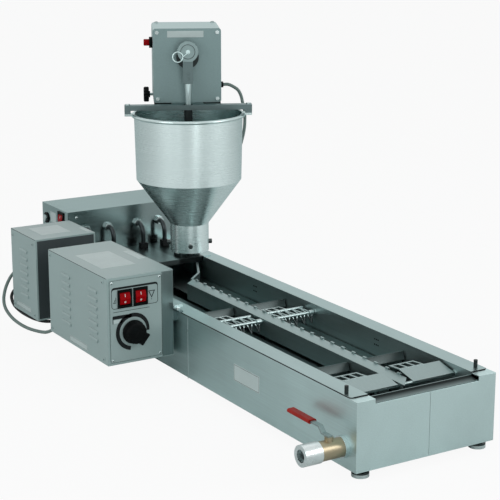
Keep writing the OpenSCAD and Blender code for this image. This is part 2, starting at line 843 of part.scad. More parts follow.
module casing_right() {
    color(steel) placed() difference() {
        union() {
            slab([front_seam_x + seam_gap / 2, bath_w], [0, sheet_t], [foot_gap, z_deck]);
            slab([bath_w - sheet_t, bath_w], [0, bath_l], [foot_gap, z_deck]);
            slab([bath_w - casing_flange_w, bath_w], [0, bath_l - sheet_t], [z_deck - sheet_t, z_deck]);
            slab([tub_x1, bath_w], [0, rim_front_y - fit_gap], [z_deck - sheet_t, z_deck]);
        }
        slab([0, tub_x1], [-over, rim_front_y + over], [z_rim - lip_t - lip_drop, z_deck + over]);
    }
}

module base_plate() {
    color(steel) placed() difference() {
        slab([sheet_t, bath_w - sheet_t], [sheet_t, bath_l - sheet_t], [foot_gap, foot_gap + sheet_t]);
        foot_places() bar_z(0, 0, [0, foot_gap + sheet_t + over], foot_stud_d + 2 * run_fit);
    }
}

module foot_places() {
    for (x = [foot_left_inset, bath_w - foot_right_inset], y = [foot_end_inset, bath_l - foot_end_inset])
        translate([x, y, 0]) children();
}

module feet() {
    color(chrome) placed() foot_places() {
        bar_z(0, 0, [0, foot_disc_h], foot_d);
        bar_z(0, 0, [0, foot_gap], foot_neck_d);
        bar_z(0, 0, [0, foot_gap + sheet_t + foot_stud_l], foot_stud_d);
    }
}

// Tub with its rim and discharge lip
module rim_outline() {
    translate([rim_gap, rim_front_y])
        rounded(bath_w - 2 * rim_gap, rear_box_y - rim_front_y - fit_gap, rim_corner_r);
}

module bath_tub() {
    color(steel) placed() difference() {
        union() {
            difference() {
                translate([0, 0, z_deck]) linear_extrude(rim_t) rim_outline();
                peg_places() bar_z(0, 0, [z_deck - over, z_rim + over], peg_d / 2 + 2 * run_fit);
            }
            slab([tub_x0 - tub_t, tub_x1 + tub_t], [rim_front_y, tub_y1 + tub_t], [z_floor - tub_t, z_rim]);
        }
        slab([tub_x0, tub_x1], [tub_y0, tub_y1], [z_floor, z_rim + over]);
        slab([tub_x0, tub_x1], [rim_front_y - over, tub_y0 + over], [z_rim - front_drop, z_rim + over]);
        drain_cut([tub_x0 - tub_t - over, tub_x0 + over], drain_bore_d);
    }
    color(steel) placed() {
        discharge_lip();
        for (y = [exit_y, flip_y]) shaft_bearings(y);
    }
}

// Bearing rings on both tub walls for the ends of a cross shaft
module shaft_bearings(y) {
    difference() {
        union() {
            bar_x([tub_x0 - tub_t / 2, tub_x0 + bearing_l], y, z_flip, bearing_d);
            bar_x([tub_x1 - bearing_l, tub_x1 + tub_t / 2], y, z_flip, bearing_d);
        }
        bar_x([tub_x0, tub_x1], y, z_flip, flip_shaft_d + 2 * run_fit);
    }
}

module discharge_lip() {
    run = rim_front_y - lip_front_gap;
    fall = lip_drop - front_drop;
    lip_r = (run * run + fall * fall) / (2 * fall);
    translate([tub_x0, lip_front_gap, z_rim - lip_t - lip_drop + lip_r]) rotate([90, 0, 90])
        linear_extrude(tub_x1 - tub_x0) intersection() {
            difference() {
                circle(lip_r);
                circle(lip_r - lip_t);
            }
            translate([0, -lip_r]) square([run, fall + lip_t]);
        }
}

module peg_places() {
    translate([peg_left_x, rim_front_y + peg_left_y, 0]) children();
    translate([bath_w - peg_right_x, rim_front_y + peg_right_y, 0]) children();
}

module rim_pegs() {
    color(dark_steel) placed() peg_places() {
        bar_z(0, 0, [z_deck, z_rim + over], peg_d / 2);
        bar_z(0, 0, [z_rim, z_rim + peg_h], peg_d);
    }
}

// Lanes
module rail_outline() {
    polygon([
        [rail_x0, rail_front_y], [rail_x1, rail_front_y + rail_point_l],
        [rail_x1, rail_rear_y], [rail_x0, rail_rear_y - rail_rear_point_l]
    ]);
}

module lane_divider() {
    web_y = [rail_front_y + rail_web_setback, rail_rear_y - rail_rear_point_l];
    web_z = [z_tray + rail_web_gap, z_rail - rail_t / 2];
    tabs = floor((web_y[1] - web_y[0]) / tab_pitch);
    lug_x = [rail_x0 + rail_t, rail_x0 + rail_w / 4];
    color(steel) placed() difference() {
        union() {
            translate([0, 0, z_rail - rail_t]) linear_extrude(rail_t) rail_outline();
            for (x = [rail_x0, rail_x1 - rail_t]) slab([x, x + rail_t], web_y, web_z);
            for (k = [0:tabs]) let (y = web_y[0] + k * tab_pitch)
                slab([rail_x1 - rail_t, rail_x1 + tab_w], [y, y + tab_l], [z_rail - rail_t, z_rail + tab_h]);
            for (y = [exit_weir_y, mid_weir_y])
                bar_z(bath_w / 2, y, [z_floor, z_rail - rail_t / 2], stay_d);
            slab([lug_x[0], lug_x[1]], [exit_y - bearing_d / 2, exit_y + bearing_d / 2],
                [z_flip - bearing_d / 2, z_rail - rail_t / 2]);
        }
        for (y = [exit_y, flip_y])
            bar_x([rail_x0 - over, rail_x1 + over], y, z_flip, flip_shaft_d + 2 * run_fit);
    }
}

// Plan of a folded sheet that lies to the left of its path
module folded(t) {
    path = [guide_start, guide_fold, guide_bend, guide_end];
    for (k = [0:len(path) - 2]) let (run = path[k + 1] - path[k])
        translate(path[k]) rotate(atan2(run[1], run[0])) square([norm(run), t]);
}

module lane_guide() {
    color(steel) placed() {
        translate([0, 0, z_tray]) linear_extrude(z_rail - z_tray) folded(rail_t);
        translate([0, 0, z_rail - rail_t]) linear_extrude(rail_t) folded(guide_flange_w);
    }
}

// Floor of one lane with the mid weir, the exit weir and their apron plates
module lane_tray(x, stays) {
    slab(x, [exit_weir_y, tub_y1 - tray_side_gap], [z_tray - tray_t, z_tray]);
    for (y = [mid_weir_y, exit_weir_y]) {
        slab(x, [y, y + tray_t], [z_tray - tray_t, z_tray + weir_h]);
        translate([x[0], y + ramp_run, z_tray - tray_t]) rotate([90, 0, 90]) linear_extrude(x[1] - x[0])
            polygon([[0, 0], [0, tray_t], [-ramp_run, weir_h + tray_t], [-ramp_run, weir_h]]);
        translate([x[0], y - tray_t - run_fit, z_tray + weir_h])
            rotate([90, 0, 90]) linear_extrude(x[1] - x[0])
                polygon([[0, 0], [tray_t, 0], [tray_t - apron_run, -apron_drop], [-apron_run, -apron_drop]]);
    }
    for (sx = stays, y = [exit_weir_y + stay_d, mid_weir_y, tub_y1 - 6 * stay_d])
        bar_z(sx, y, [z_floor, z_tray - tray_t / 2], stay_d);
}

// The stays stand between the heater's tubes
module lane_tray_left() {
    between = heater_mid_x - (heater_inner_pitch + heater_outer_pitch) / 4;
    beside = (heater_mid_x - heater_inner_pitch / 2 + tray_l_x1) / 2;
    color(dark_steel) placed() difference() {
        lane_tray([tray_l_x0, tray_l_x1], [between, beside]);
        heater_leg_cuts();
    }
}

module lane_tray_right() {
    between = heater_mid_x + (heater_inner_pitch + heater_outer_pitch) / 4;
    beside = (heater_mid_x + heater_outer_pitch / 2 + tray_r_x1) / 2;
    color(dark_steel) placed() difference() {
        lane_tray([tray_r_x0, tray_r_x1], [between, beside]);
        heater_leg_cuts();
    }
}

// Ladder comb that falls to the rear from its front edge
module ladder() {
    window_w = (ladder_w - (ladder_windows + 1) * ladder_bar) / ladder_windows;
    rotate([-ladder_slope, 0, 0]) difference() {
        slab([0, ladder_w], [0, ladder_l], [0, slide_t]);
        for (k = [0:ladder_windows - 1]) let (x = ladder_bar + k * (window_w + ladder_bar))
            slab([x, x + window_w], [ladder_bar, ladder_l - ladder_bar], [-over, slide_t + over]);
    }
}

// Mid flipper: cross shaft, rods, zigzag wires and ladder combs
module mid_flipper() {
    color(chrome) placed() translate([0, flip_y, z_flip]) {
        bar_x([tub_x0 + small_gap, tub_x1 - small_gap], 0, 0, flip_shaft_d);
        for (x = flip_lanes) {
            pitch = (x[1] - x[0]) / flip_zigs;
            bar_x(x, flip_rod_run, 0, flip_rod_d);
            for (k = [0:flip_zigs - 1]) let (mid = x[0] + (k + 1 / 2) * pitch, step = pitch / 2 - flip_wire_d)
                for (from = [mid - step, mid + step]) {
                    wire([from, 0, 0], [mid, flip_rod_run, 0], flip_wire_d);
                    wire([from, 0, 0], [mid, -flip_tail_l / 2, -flip_tail_l], flip_wire_d);
                }
            bar_x([x[1] - flip_collar_d, x[1]], 0, 0, flip_collar_d);
            translate([x[0], flip_rod_run, 0]) ladder();
        }
    }
}

// Exit flap: cross shaft, slide plates on lugs and ladder combs
module exit_flap() {
    shaft_r = flip_shaft_d / 2;
    half_t = slide_t / 2;
    color(steel) placed() translate([0, exit_y, z_flip]) {
        bar_x([tub_x0 + small_gap, tub_x1 - small_gap], 0, 0, flip_shaft_d);
        for (x = flip_lanes) rotate([slide_slope, 0, 0]) {
            slab(x, [-slide_nose, slide_l - slide_nose], [shaft_r - half_t, shaft_r + half_t]);
            for (lug = [x[0] + half_t, x[1] - flip_collar_d])
                slab([lug, lug + flip_collar_d - half_t], [-shaft_r - half_t / 2, shaft_r + half_t],
                    [0, shaft_r]);
            translate([x[0] + half_t, slide_l - slide_nose - slide_t, shaft_r - half_t / 2])
                rotate([-slide_slope, 0, 0]) ladder();
        }
    }
}

// Rear cover and heater
module rear_cover() {
    color(steel) placed() difference() {
        union() {
            slab([tub_x0 - cover_overlap, tub_x1 + cover_overlap], [cover_front_y, rear_box_y - fit_gap],
                [z_rim, z_cover]);
            slab([tub_x0 + fit_gap, tub_x1 - fit_gap], [cover_front_y, cover_front_y + cover_t],
                [z_rim - cover_lip_h, z_cover]);
        }
        heater_leg_cuts();
    }
}

heater_mid_x = tub_x0 + heater_left_gap + heater_outer_pitch / 2;
heater_leg_y = rear_box_y - heater_leg_run;
heater_gland_z = z_rim + heater_gland_h;
heater_pitches = [heater_inner_pitch, heater_outer_pitch];

module heater_places() {
    for (pitch = heater_pitches, side = [-1, 1])
        translate([heater_mid_x + side * pitch / 2, 0, 0]) children();
}

module heater_leg_cuts() {
    heater_places() bar_z(0, heater_leg_y, [z_floor, heater_gland_z], heater_d + 2 * fit_gap);
}

// Quarter bend whose centre lies in front of and above its lower end
module heater_bend(y, z, turn) {
    translate([0, y, z]) rotate([0, 90, 0]) rotate([0, 0, turn]) rotate_extrude(angle = 90)
        translate([heater_bend_r, 0]) circle(d = heater_d);
}

module heater_elements() {
    front_y = tub_y0 + heater_front_gap + heater_outer_pitch / 2;
    color(dark_steel) placed() {
        heater_places() {
            bar_y(0, [heater_leg_y + heater_bend_r, rear_box_y + 2 * gland_nut_h], heater_gland_z, heater_d);
            heater_bend(heater_leg_y + heater_bend_r, heater_gland_z - heater_bend_r, 180);
            bar_z(0, heater_leg_y, [z_heater + heater_bend_r, heater_gland_z - heater_bend_r], heater_d);
            heater_bend(heater_leg_y - heater_bend_r, z_heater + heater_bend_r, 0);
            bar_y(0, [front_y, heater_leg_y - heater_bend_r], z_heater, heater_d);
        }
        for (pitch = heater_pitches) translate([heater_mid_x, front_y, z_heater]) rotate([0, 0, 180])
            rotate_extrude(angle = 180) translate([pitch / 2, 0]) circle(d = heater_d);
    }
}

module heater_glands() {
    y = [rear_box_y - gland_nut_h, rear_box_y + gland_nut_h];
    color(chrome) placed() heater_places() difference() {
        union() {
            translate([0, rear_box_y, heater_gland_z]) rotate([90, 0, 0])
                cylinder(h = gland_nut_h, d = gland_nut_d, $fn = 6);
            bar_y(0, y, heater_gland_z, gland_sleeve_d);
        }
        bar_y(0, [y[0] - over, y[1] + over], heater_gland_z, heater_d + 2 * run_fit);
    }
}

module heater_boots() {
    half_w = boot_w / 2;
    color(black) placed() heater_places() difference() {
        slab([-half_w, half_w], [heater_leg_y - half_w, heater_leg_y + half_w], [z_cover, z_cover + boot_h]);
        bar_z(0, heater_leg_y, [z_rim, z_cover + boot_h + over], heater_d + 2 * run_fit);
    }
}

// Terminal box
module terminal_box() {
    z = [z_deck, z_deck + rear_box_h];
    inner_y = [rear_box_y + sheet_t, bath_l - sheet_t];
    color(steel) placed() difference() {
        slab([0, bath_w], [rear_box_y, bath_l], z);
        slab([sheet_t, bath_w - sheet_t], inner_y, [z[0] - over, z[1] - sheet_t]);
        heater_places()
            bar_y(0, [rear_box_y - over, inner_y[0] + over], heater_gland_z, gland_sleeve_d + 2 * run_fit);
        rear_rocker_place() switch_cut(sheet_t);
        reset_place() bar_x([-over, sheet_t + over], 0, 0, reset_d + 2 * small_gap);
        bar_z(top_gland[0], top_gland[1], [z[1] - sheet_t - over, z[1] + over], cable_d);
        bar_y(mains_gland[0], [inner_y[1] - over, bath_l + over], mains_gland[2], cable_d);
    }
}

// Terminal strip on the rear wall, beside the mains gland
module terminal_block() {
    x = [mains_gland[0] - gland_d - block_w, mains_gland[0] - gland_d];
    y = [bath_l - sheet_t - block_l, bath_l - sheet_t];
    pitch = block_w / (block_ways + 1);
    color(black) placed() translate([0, 0, mains_gland[2]]) difference() {
        slab(x, y, [0, block_h]);
        for (k = [1:block_ways])
            bar_z(x[0] + k * pitch, y[0] + block_l / 2, [block_h / 2, block_h + over], pitch / 2);
    }
}

module reset_place() {
    translate([0, bath_l - reset_y, z_deck + rear_box_h - reset_drop]) children();
}

module reset_collar() {
    difference() {
        bar_x([-bezel_t, 0], 0, 0, reset_collar_d);
        bar_x([-bezel_t - over, over], 0, 0, reset_d + 2 * small_gap);
    }
}

module reset_button() {
    color(chrome) placed() reset_place() bar_x([-bezel_t - reset_h, sheet_t + switch_wall], 0, 0, reset_d);
}

// Rocker switches, modelled on a panel face in the XZ plane that looks along -Y
module switch_cut(depth) {
    half_w = rocker_w / 2 + small_gap + switch_wall + small_gap;
    half_h = rocker_r + fit_gap + switch_wall + small_gap;
    slab([-half_w, half_w], [-over, depth + over], [-half_h, half_h]);
}

module switch_bezel() {
    hole_x = rocker_w / 2 + small_gap;
    hole_z = rocker_r + fit_gap;
    body_x = hole_x + switch_wall;
    body_z = hole_z + switch_wall;
    difference() {
        union() {
            slab([-bezel_w / 2, bezel_w / 2], [-bezel_t, 0], [-bezel_h / 2, bezel_h / 2]);
            slab([-body_x, body_x], [-bezel_t, switch_l], [-body_z, body_z]);
        }
        slab([-hole_x, hole_x], [-bezel_t - over, switch_l - switch_wall], [-hole_z, hole_z]);
    }
}

// Rocker with a ridge across its middle and round ends about its pivot
module switch_rocker() {
    face = bezel_t + rocker_pivot;
    translate([rocker_w / 2, rocker_pivot, 0]) rotate([0, -90, 0]) linear_extrude(rocker_w) intersection() {
        circle(rocker_r);
        polygon([
            [-rocker_r, rocker_r / 2], [-rocker_r, -face + rocker_rise / 2], [0, -face - rocker_rise],
            [rocker_r, -face + rocker_rise / 2], [rocker_r, rocker_r / 2]
        ]);
    }
}

module heat_rocker_place() {
    translate([control_x + rocker_left_x, control_y - panel_t, rocker_z]) children();
}

module drive_rocker_place() {
    translate([control_x + rocker_left_x + rocker_pitch, control_y - panel_t, rocker_z]) children();
}

module rear_rocker_place() {
    translate([0, rear_box_y + rear_rocker_y, z_deck + rear_box_h - rear_rocker_drop])
        rotate([0, 0, -90]) children();
}

module switch_bezels() {
    color(black) placed() {
        heat_rocker_place() switch_bezel();
        drive_rocker_place() switch_bezel();
        rear_rocker_place() switch_bezel();
        reset_place() reset_collar();
    }
}

module heat_rocker() {
    color(red) placed() heat_rocker_place() switch_rocker();
}

module drive_rocker() {
    color(red) placed() drive_rocker_place() switch_rocker();
}

module rear_rocker() {
    color(red) placed() rear_rocker_place() switch_rocker();
}

// Units on the left side, with columns of louvres at these shares of their lengths
control_louvre_shares = [0.16, 0.62];
power_louvre_shares = [0.35];

module louvres(y, z) {
    for (k = [0:louvre_count - 1]) translate([0, y, z - k * louvre_pitch]) rotate([-90, 0, 0])
        linear_extrude(louvre_l)
            polygon([[0, 0], [-louvre_d, louvre_h / 2], [-louvre_d, louvre_h], [0, louvre_h]]);
}

module louvre_slots(y, z, depth) {
    for (k = [0:louvre_count - 1]) translate([0, y, z - k * louvre_pitch])
        slab([-louvre_d / 2, depth + over], [unit_t, louvre_l - unit_t], [-louvre_h - over, -louvre_h / 2]);
}

module louvre_columns(h, columns) {
    top_louvre = h - 2 * louvre_pitch;
    difference() {
        for (y = columns) louvres(y, top_louvre);
        for (y = columns) louvre_slots(y, top_louvre, 0);
    }
}

module unit_louvres() {
    color(paint) placed() {
        translate([control_x, control_y, unit_z])
            louvre_columns(control_h, control_louvre_shares * control_l);
        translate([power_x, power_y, unit_z]) louvre_columns(power_h, power_louvre_shares * power_l);
    }
}

// Sheet case, open at the rear, with slots for the louvres in its left side
module unit_case(w, l, h, columns) {
    top_louvre = h - 2 * louvre_pitch;
    difference() {
        cube([w, l, h]);
        slab([unit_t, w - unit_t], [unit_t, l + over], [unit_t, h - unit_t]);
        for (y = columns) louvre_slots(y, top_louvre, unit_t);
    }
}

module control_case() {
    color(paint) placed() difference() {
        translate([control_x, control_y, unit_z])
            unit_case(control_w, control_l, control_h, control_louvre_shares * control_l);
        heat_rocker_place() switch_cut(panel_t + unit_t);
        drive_rocker_place() switch_cut(panel_t + unit_t);
        spindle_cut([control_y - over, control_y + unit_t + over], small_gap);
    }
}

module spindle_cut(y, gap) {
    bar_y(control_x + knob_x, y, knob_z, spindle_d + 2 * gap);
}

module control_panel() {
    x = control_x + panel_x;
    z = unit_z + (control_h - panel_h) / 2;
    color(paint) placed() difference() {
        slab([x, x + panel_w], [control_y - panel_t, control_y], [z, z + panel_h]);
        heat_rocker_place() switch_cut(panel_t);
        drive_rocker_place() switch_cut(panel_t);
        spindle_cut([control_y - panel_t - over, control_y + over], small_gap);
    }
}

// Board on the unit's floor, with the knob's potentiometer on a stand
module controller_board() {
    board_x = [control_x + panel_x, control_x + control_w - panel_x];
    board_z = unit_z + unit_t;
    pot_x = control_x + knob_x;
    pot_y = [control_y + unit_t, control_y + unit_t + pot_l];
    color(black) placed() difference() {
        union() {
            bar_y(pot_x, pot_y, knob_z, pot_d);
            slab([pot_x - pot_d / 2, pot_x + pot_d / 2], pot_y, [board_z, knob_z]);
            slab(board_x, [pot_y[0], control_y + control_l / 2], [board_z, board_z + pot_l / 2]);
        }
        spindle_cut([pot_y[0] - over, pot_y[0] + pot_l / 2], run_fit);
    }
}

module speed_knob() {
    back_y = control_y - panel_t - knob_gap;
    turn = -40;
    color(black) placed() translate([control_x + knob_x, 0, knob_z]) {
        bar_y(0, [back_y - knob_h, back_y], 0, knob_d);
        rotate([0, -turn, 0])
            slab([0, pointer_l], [back_y - knob_h, back_y], [-pointer_w / 2, pointer_w / 2]);
        bar_y(0, [back_y - knob_gap, control_y + unit_t + pot_l / 3], 0, spindle_d);
    }
}

module power_case() {
    color(paint) placed() difference() {
        translate([power_x, power_y, unit_z])
            unit_case(power_w, power_l, power_h, power_louvre_shares * power_l);
        power_front([-over, unit_t + over]);
    }
}

module power_front(y) {
    edge = 2 * unit_t;
    translate([power_x, power_y, unit_z]) slab([edge, power_w - edge], y, [edge, power_h - edge]);
}

module power_panel() {
    color(dark_steel) placed() power_front([0, unit_t]);
}

module transformer() {
    core_shares = [0.2, 0.8];
    coil_x_shares = [0.3, 0.7];
    coil_y_shares = [0.1, 0.9];
    coil_z_shares = [0.12, 0.38];
    color(black) placed() translate([power_x, power_y, unit_z + unit_t]) {
        slab(core_shares * power_w, core_shares * power_l, [0, power_h / 2]);
        slab(coil_x_shares * power_w, coil_y_shares * power_l, coil_z_shares * power_h);
    }
}

module rear_panel(x, y, w, h, glands) {
    difference() {
        slab([x + unit_t, x + w - unit_t], [y - unit_t, y], [unit_z + unit_t, unit_z + h - unit_t]);
        for (z = glands) bar_y(x + unit_gland_x, [y - unit_t - over, y + over], unit_z + z, cable_d);
    }
}

module unit_rear_panels() {
    color(paint) placed() {
        rear_panel(control_x, control_y + control_l, control_w, control_h, [control_gland_h]);
        rear_panel(power_x, power_y + power_l, power_w, power_h, [power_gland_h, power_low_gland_h]);
    }
}

// Blocks that hang the units on the casing, the first one with an ear for its thumb screw
bracket_top_z = z_deck + bracket_up;
bracket_z = [z_deck - bracket_h, bracket_top_z];
bracket_ear_z = bracket_top_z - bracket_ear_t;
thumb_y = control_y - bracket_reach / 2;

module unit_brackets() {
    ends = [control_y, control_y + control_l - bracket_l, power_y, power_y + power_l - bracket_l];
    color(steel) placed() difference() {
        union() {
            for (y = ends) slab([-unit_gap, 0], [y, y + bracket_l], bracket_z);
            slab([-unit_gap, 0], [control_y - bracket_reach, control_y], [bracket_ear_z, bracket_top_z]);
        }
        bar_z(-unit_gap / 2, thumb_y, [bracket_ear_z - over, bracket_top_z + over], thumb_d / 2 + 2 * run_fit);
    }
}

module thumb_screws() {
    color(chrome) placed() {
        bar_z(-unit_gap / 2, thumb_y, [bracket_ear_z, bracket_top_z + thumb_h], thumb_d / 2);
        bar_z(-unit_gap / 2, thumb_y, [bracket_top_z, bracket_top_z + thumb_h], thumb_d);
        translate([-unit_gap / 2, thumb_y, bracket_top_z + thumb_h])
            slab([-thumb_d, thumb_d], [-thumb_t / 2, thumb_t / 2], [0, thumb_h]);
    }
}

// Gland on a sheet at its foot, closed where its cable enters
module cable_gland() {
    difference() {
        cylinder(h = gland_l, d = gland_d);
        translate([0, 0, -over]) cylinder(h = gland_l + over - cable_d / 2, d = cable_d);
    }
}

module cable_glands() {
    color(black) placed() {
        translate(top_gland) cable_gland();
        translate(mains_gland) rotate([-90, 0, 0]) cable_gland();
        for (p = [power_rear, power_low, control_rear])
            translate(p - [0, gland_l, 0]) rotate([-90, 0, 0]) cable_gland();
        translate(casing_gland + [gland_l, 0, 0]) rotate([0, -90, 0]) cable_gland();
    }
}

module link_cable() {
    color(dark_steel) placed() tube_along(link_route, cable_d);
}

module supply_cable() {
    color(black) placed() tube_along(supply_route, cable_d);
}

module motor_cable() {
    color(dark_steel) placed() tube_along(motor_route, cable_d);
}

// Drain valve, with its axis along X, on a collar whose pipe runs through the casing to the tub
module drain_collar() {
    color(chrome) placed() difference() {
        union() {
            drain_cut([-collar_l, 0], collar_d);
            drain_cut([-collar_l, tub_x0 - tub_t], drain_pipe_d);
        }
        drain_cut([-collar_l - over, tub_x0], drain_bore_d);
    }
}

module valve_body() {
    x = [-collar_l - valve_l, -collar_l];
    boss_z = z_drain + valve_d / 2 + boss_h;
    color(brass) placed() difference() {
        union() {
            drain_cut(x, valve_d);
            bar_z(valve_x, drain_y, [z_drain, boss_z], boss_d);
        }
        drain_cut([x[0] - over, x[1] + over], drain_bore_d);
        translate([valve_x, drain_y, z_drain]) sphere(d = ball_d + 2 * fit_gap);
        bar_z(valve_x, drain_y, [z_drain, boss_z + over], stem_d + 2 * run_fit);
    }
}

module valve_cap() {
    x = [-collar_l - valve_l - cap_l, -collar_l - valve_l];
    color(chrome) placed() difference() {
        drain_cut(x, cap_d);
        drain_cut([x[0] - over, x[0] + outlet_l], outlet_d);
        drain_cut([x[0], x[1] + over], drain_bore_d);
    }
}

module valve_ball() {
    color(chrome) placed() difference() {
        union() {
            translate([valve_x, drain_y, z_drain]) sphere(d = ball_d);
            bar_z(valve_x, drain_y, [z_drain, lever_z], stem_d);
        }
        bar_y(valve_x, [drain_y - ball_d, drain_y + ball_d], z_drain, ball_bore_d);
    }
}

// Lever: flat at the stem, stepped up, and then out to its sleeve
lever_z = z_drain + valve_d / 2 + boss_h;

module valve_lever() {
    slope_y = lever_step_y - lever_rise;
    color(steel) placed() translate([valve_x - lever_w / 2, drain_y, lever_z]) rotate([90, 0, 90])
        linear_extrude(lever_w) polygon([
            [-lever_w / 2, 0], [slope_y, 0], [lever_step_y, lever_rise], [lever_l - sleeve_t, lever_rise],
            [lever_l - sleeve_t, lever_rise + lever_t], [lever_step_y - lever_t / 2, lever_rise + lever_t],
            [slope_y - lever_t / 2, lever_t], [-lever_w / 2, lever_t]
        ]);
}

module lever_sleeve() {
    y = [lever_l - sleeve_l, lever_l];
    half_w = lever_w / 2;
    half_h = lever_t / 2 + sleeve_t;
    color(red) placed() translate([valve_x, drain_y, lever_z + lever_rise + lever_t / 2]) difference() {
        union() {
            slab([-half_w, half_w], y, [-half_h, half_h]);
            for (side = [-1, 1]) bar_y(side * half_w, y, 0, 2 * half_h);
        }
        slab([-half_w, half_w], [y[0] - over, y[1] - sleeve_t], [-lever_t / 2, lever_t / 2]);
    }
}

// Dosing head: post, clamp, motor box and what is on it
module post() {
    color(steel) placed() translate([post_x, post_y, 0]) {
        bar_z(0, 0, [z_cover, z_cover + post_flange_h], post_flange_d);
        bar_z(0, 0, [z_cover, block_z + clamp_h - sheet_t - run_fit], post_d);
    }
}

module post_cut(z, gap) {
    bar_z(0, post_v, z, post_d + 2 * gap);
}

module clamp_block() {
    z = [block_z, block_z + clamp_h];
    front_v = clamp_v - clamp_stud_d;
    color(dark_steel) head() difference() {
        slab([-clamp_w / 2, clamp_w / 2], [front_v, motor_v + motor_l - motor_t - fit_gap], z);
        post_cut([z[0] - over, z[1] - sheet_t], run_fit);
        slab([-clamp_slit / 2, clamp_slit / 2], [front_v - over, post_v], [z[0] - over, z[1] + over]);
        bar_x([-clamp_w / 2 - over, clamp_w / 4], clamp_v, stud_z, clamp_stud_d + 2 * run_fit);
    }
}

module clamp_knob() {
    face_u = -motor_w / 2 - clamp_knob_gap;
    color(black) head() {
        bar_x([face_u - clamp_knob_h, face_u], clamp_v, stud_z, clamp_knob_d);
        bar_x([face_u - over, 0], clamp_v, stud_z, clamp_stud_d);
    }
}

// Section of the motor box across the head
module motor_section(inset) {
    translate([-motor_w / 2 + inset, motor_z + inset])
        rounded(motor_w - 2 * inset, motor_h - 2 * inset, motor_r - inset);
}

module motor_box() {
    v = [motor_v, motor_v + motor_l];
    color(steel) head() difference() {
        translate([0, v[1], 0]) rotate([90, 0, 0]) linear_extrude(motor_l) motor_section(0);
        translate([0, v[1] - motor_t, 0]) rotate([90, 0, 0]) linear_extrude(motor_l) motor_section(motor_t);
        post_cut([motor_z - over, motor_z + motor_t + over], fit_gap);
        bar_x([-motor_w, 0], clamp_v, stud_z, clamp_stud_d + 2 * small_gap);
        bar_x([-motor_w, 0], motor_v + button_v, motor_top - button_drop, button_d + 2 * small_gap);
        bar_x([0, motor_w], motor_v + motor_gland_v, motor_z + motor_gland_h, cable_d);
    }
}

module cover_screw_places() {
    for (u = [-1, 1], z = [motor_z + cover_screw_inset, motor_top - cover_screw_inset])
        translate([u * (motor_w / 2 - cover_screw_inset), 0, z]) children();
}

gear_boss_d = 2 * crank_shaft_d;

module motor_cover() {
    color(paint) head() difference() {
        translate([0, motor_v, 0]) rotate([90, 0, 0]) linear_extrude(motor_t) motor_section(0);
        bar_y(0, [0, motor_v + over], crank_z, gear_boss_d + 2 * small_gap);
    }
}

module gearmotor() {
    gear_shares = [0.3, 0.6];
    gear_u = gear_shares[0] * motor_w;
    gear_v = [motor_v, motor_v + gear_shares[1] * motor_l];
    color(dark_steel) head() difference() {
        union() {
            slab([-gear_u, gear_u], gear_v, [crank_z - gear_u, crank_z + gear_u]);
            bar_y(0, [motor_v - motor_t - fit_gap, motor_v + over], crank_z, gear_boss_d);
            bar_y(0, [gear_v[1], motor_v + motor_l - 2 * motor_t], crank_z, 2 * gear_u - motor_t);
        }
        bar_y(0, [0, gear_v[1] - gear_u], crank_z, crank_shaft_d + 2 * run_fit);
    }
}

module button_collar() {
    translate([-motor_w / 2, motor_v + button_v, motor_top - button_drop]) difference() {
        bar_x([-button_collar_h, 0], 0, 0, button_collar_d);
        bar_x([-button_collar_h - over, over], 0, 0, button_d + 2 * small_gap);
    }
}

module push_button() {
    color(red) head() translate([-motor_w / 2, motor_v + button_v, motor_top - button_drop])
        bar_x([-button_collar_h - button_h, motor_t + over], 0, 0, button_d);
}

module motor_fittings() {
    color(black) head() {
        button_collar();
        translate([motor_w / 2, motor_v + motor_gland_v, motor_z + motor_gland_h])
            rotate([0, 90, 0]) cable_gland();
    }
}

// Crank disc with its shaft and a pin that ends behind the rod's eye
module crank_disc() {
    color(dark_steel) head() {
        bar_y(0, [crank_v, crank_v + crank_t], crank_z, crank_d);
        bar_y(0, [crank_v, motor_v + 2 * crank_d / 3], crank_z, crank_shaft_d);
        bar_y(0, [eye_t / 2 + fit_gap, crank_v + over], eye_z, crank_pin_d);
    }
}

// Connecting rod: eye, flat bar, turned sleeve, and the wire clip that locks it
module con_rod() {
    bar_foot_z = eye_z - con_rod_l;
    clip_v = eye_front_v - clip_d;
    color(chrome) head() {
        difference() {
            union() {
                bar_y(0, [eye_front_v, eye_t / 2], eye_z, eye_d);
                slab([-con_rod_w / 2, con_rod_w / 2], [-con_rod_t / 2, con_rod_t / 2], [bar_foot_z, eye_z]);
                translate([0, 0, rod_foot_z]) cylinder(h = rod_sleeve_l, d1 = rod_foot_d, d2 = rod_sleeve_d);
            }
            bar_y(0, [eye_front_v - over, eye_front_v + eye_recess], eye_z, eye_recess_d);
            for (k = [1, 2])
                bar_y(0, [-con_rod_t, -con_rod_t / 4], bar_foot_z + k * con_rod_w / 2, con_rod_w / 3);
        }
        bar_y(0, [clip_v, eye_front_v + 2 * eye_recess], eye_z, crank_pin_d);
        translate([-con_rod_w, clip_v, eye_z - con_rod_w / 2]) rotate([90, 0, 0])
            rotate_extrude() translate([con_rod_w / 2, 0]) circle(d = clip_d, $fn = 24);
        wire([-con_rod_w / 2, clip_v, eye_z - con_rod_w / 2], [crank_pin_d / 4, clip_v, eye_z], clip_d);
    }
}

// Plunger: rod, piston and tip
module plunger() {
    color(dark_steel) head() {
        bar_z(0, 0, [piston_z, rod_foot_z], plunger_d);
        bar_z(0, 0, [piston_z, piston_z + piston_h], piston_d);
        bar_z(0, 0, [neck_z - tip_l, piston_z + over], tip_d);
        translate([0, 0, neck_z - tip_l]) sphere(d = tip_d);
    }
}

// Yoke: bar with end blocks on the hopper's ears, and the arm that carries the motor box
ear_z = [hopper_z - ear_t, hopper_z];

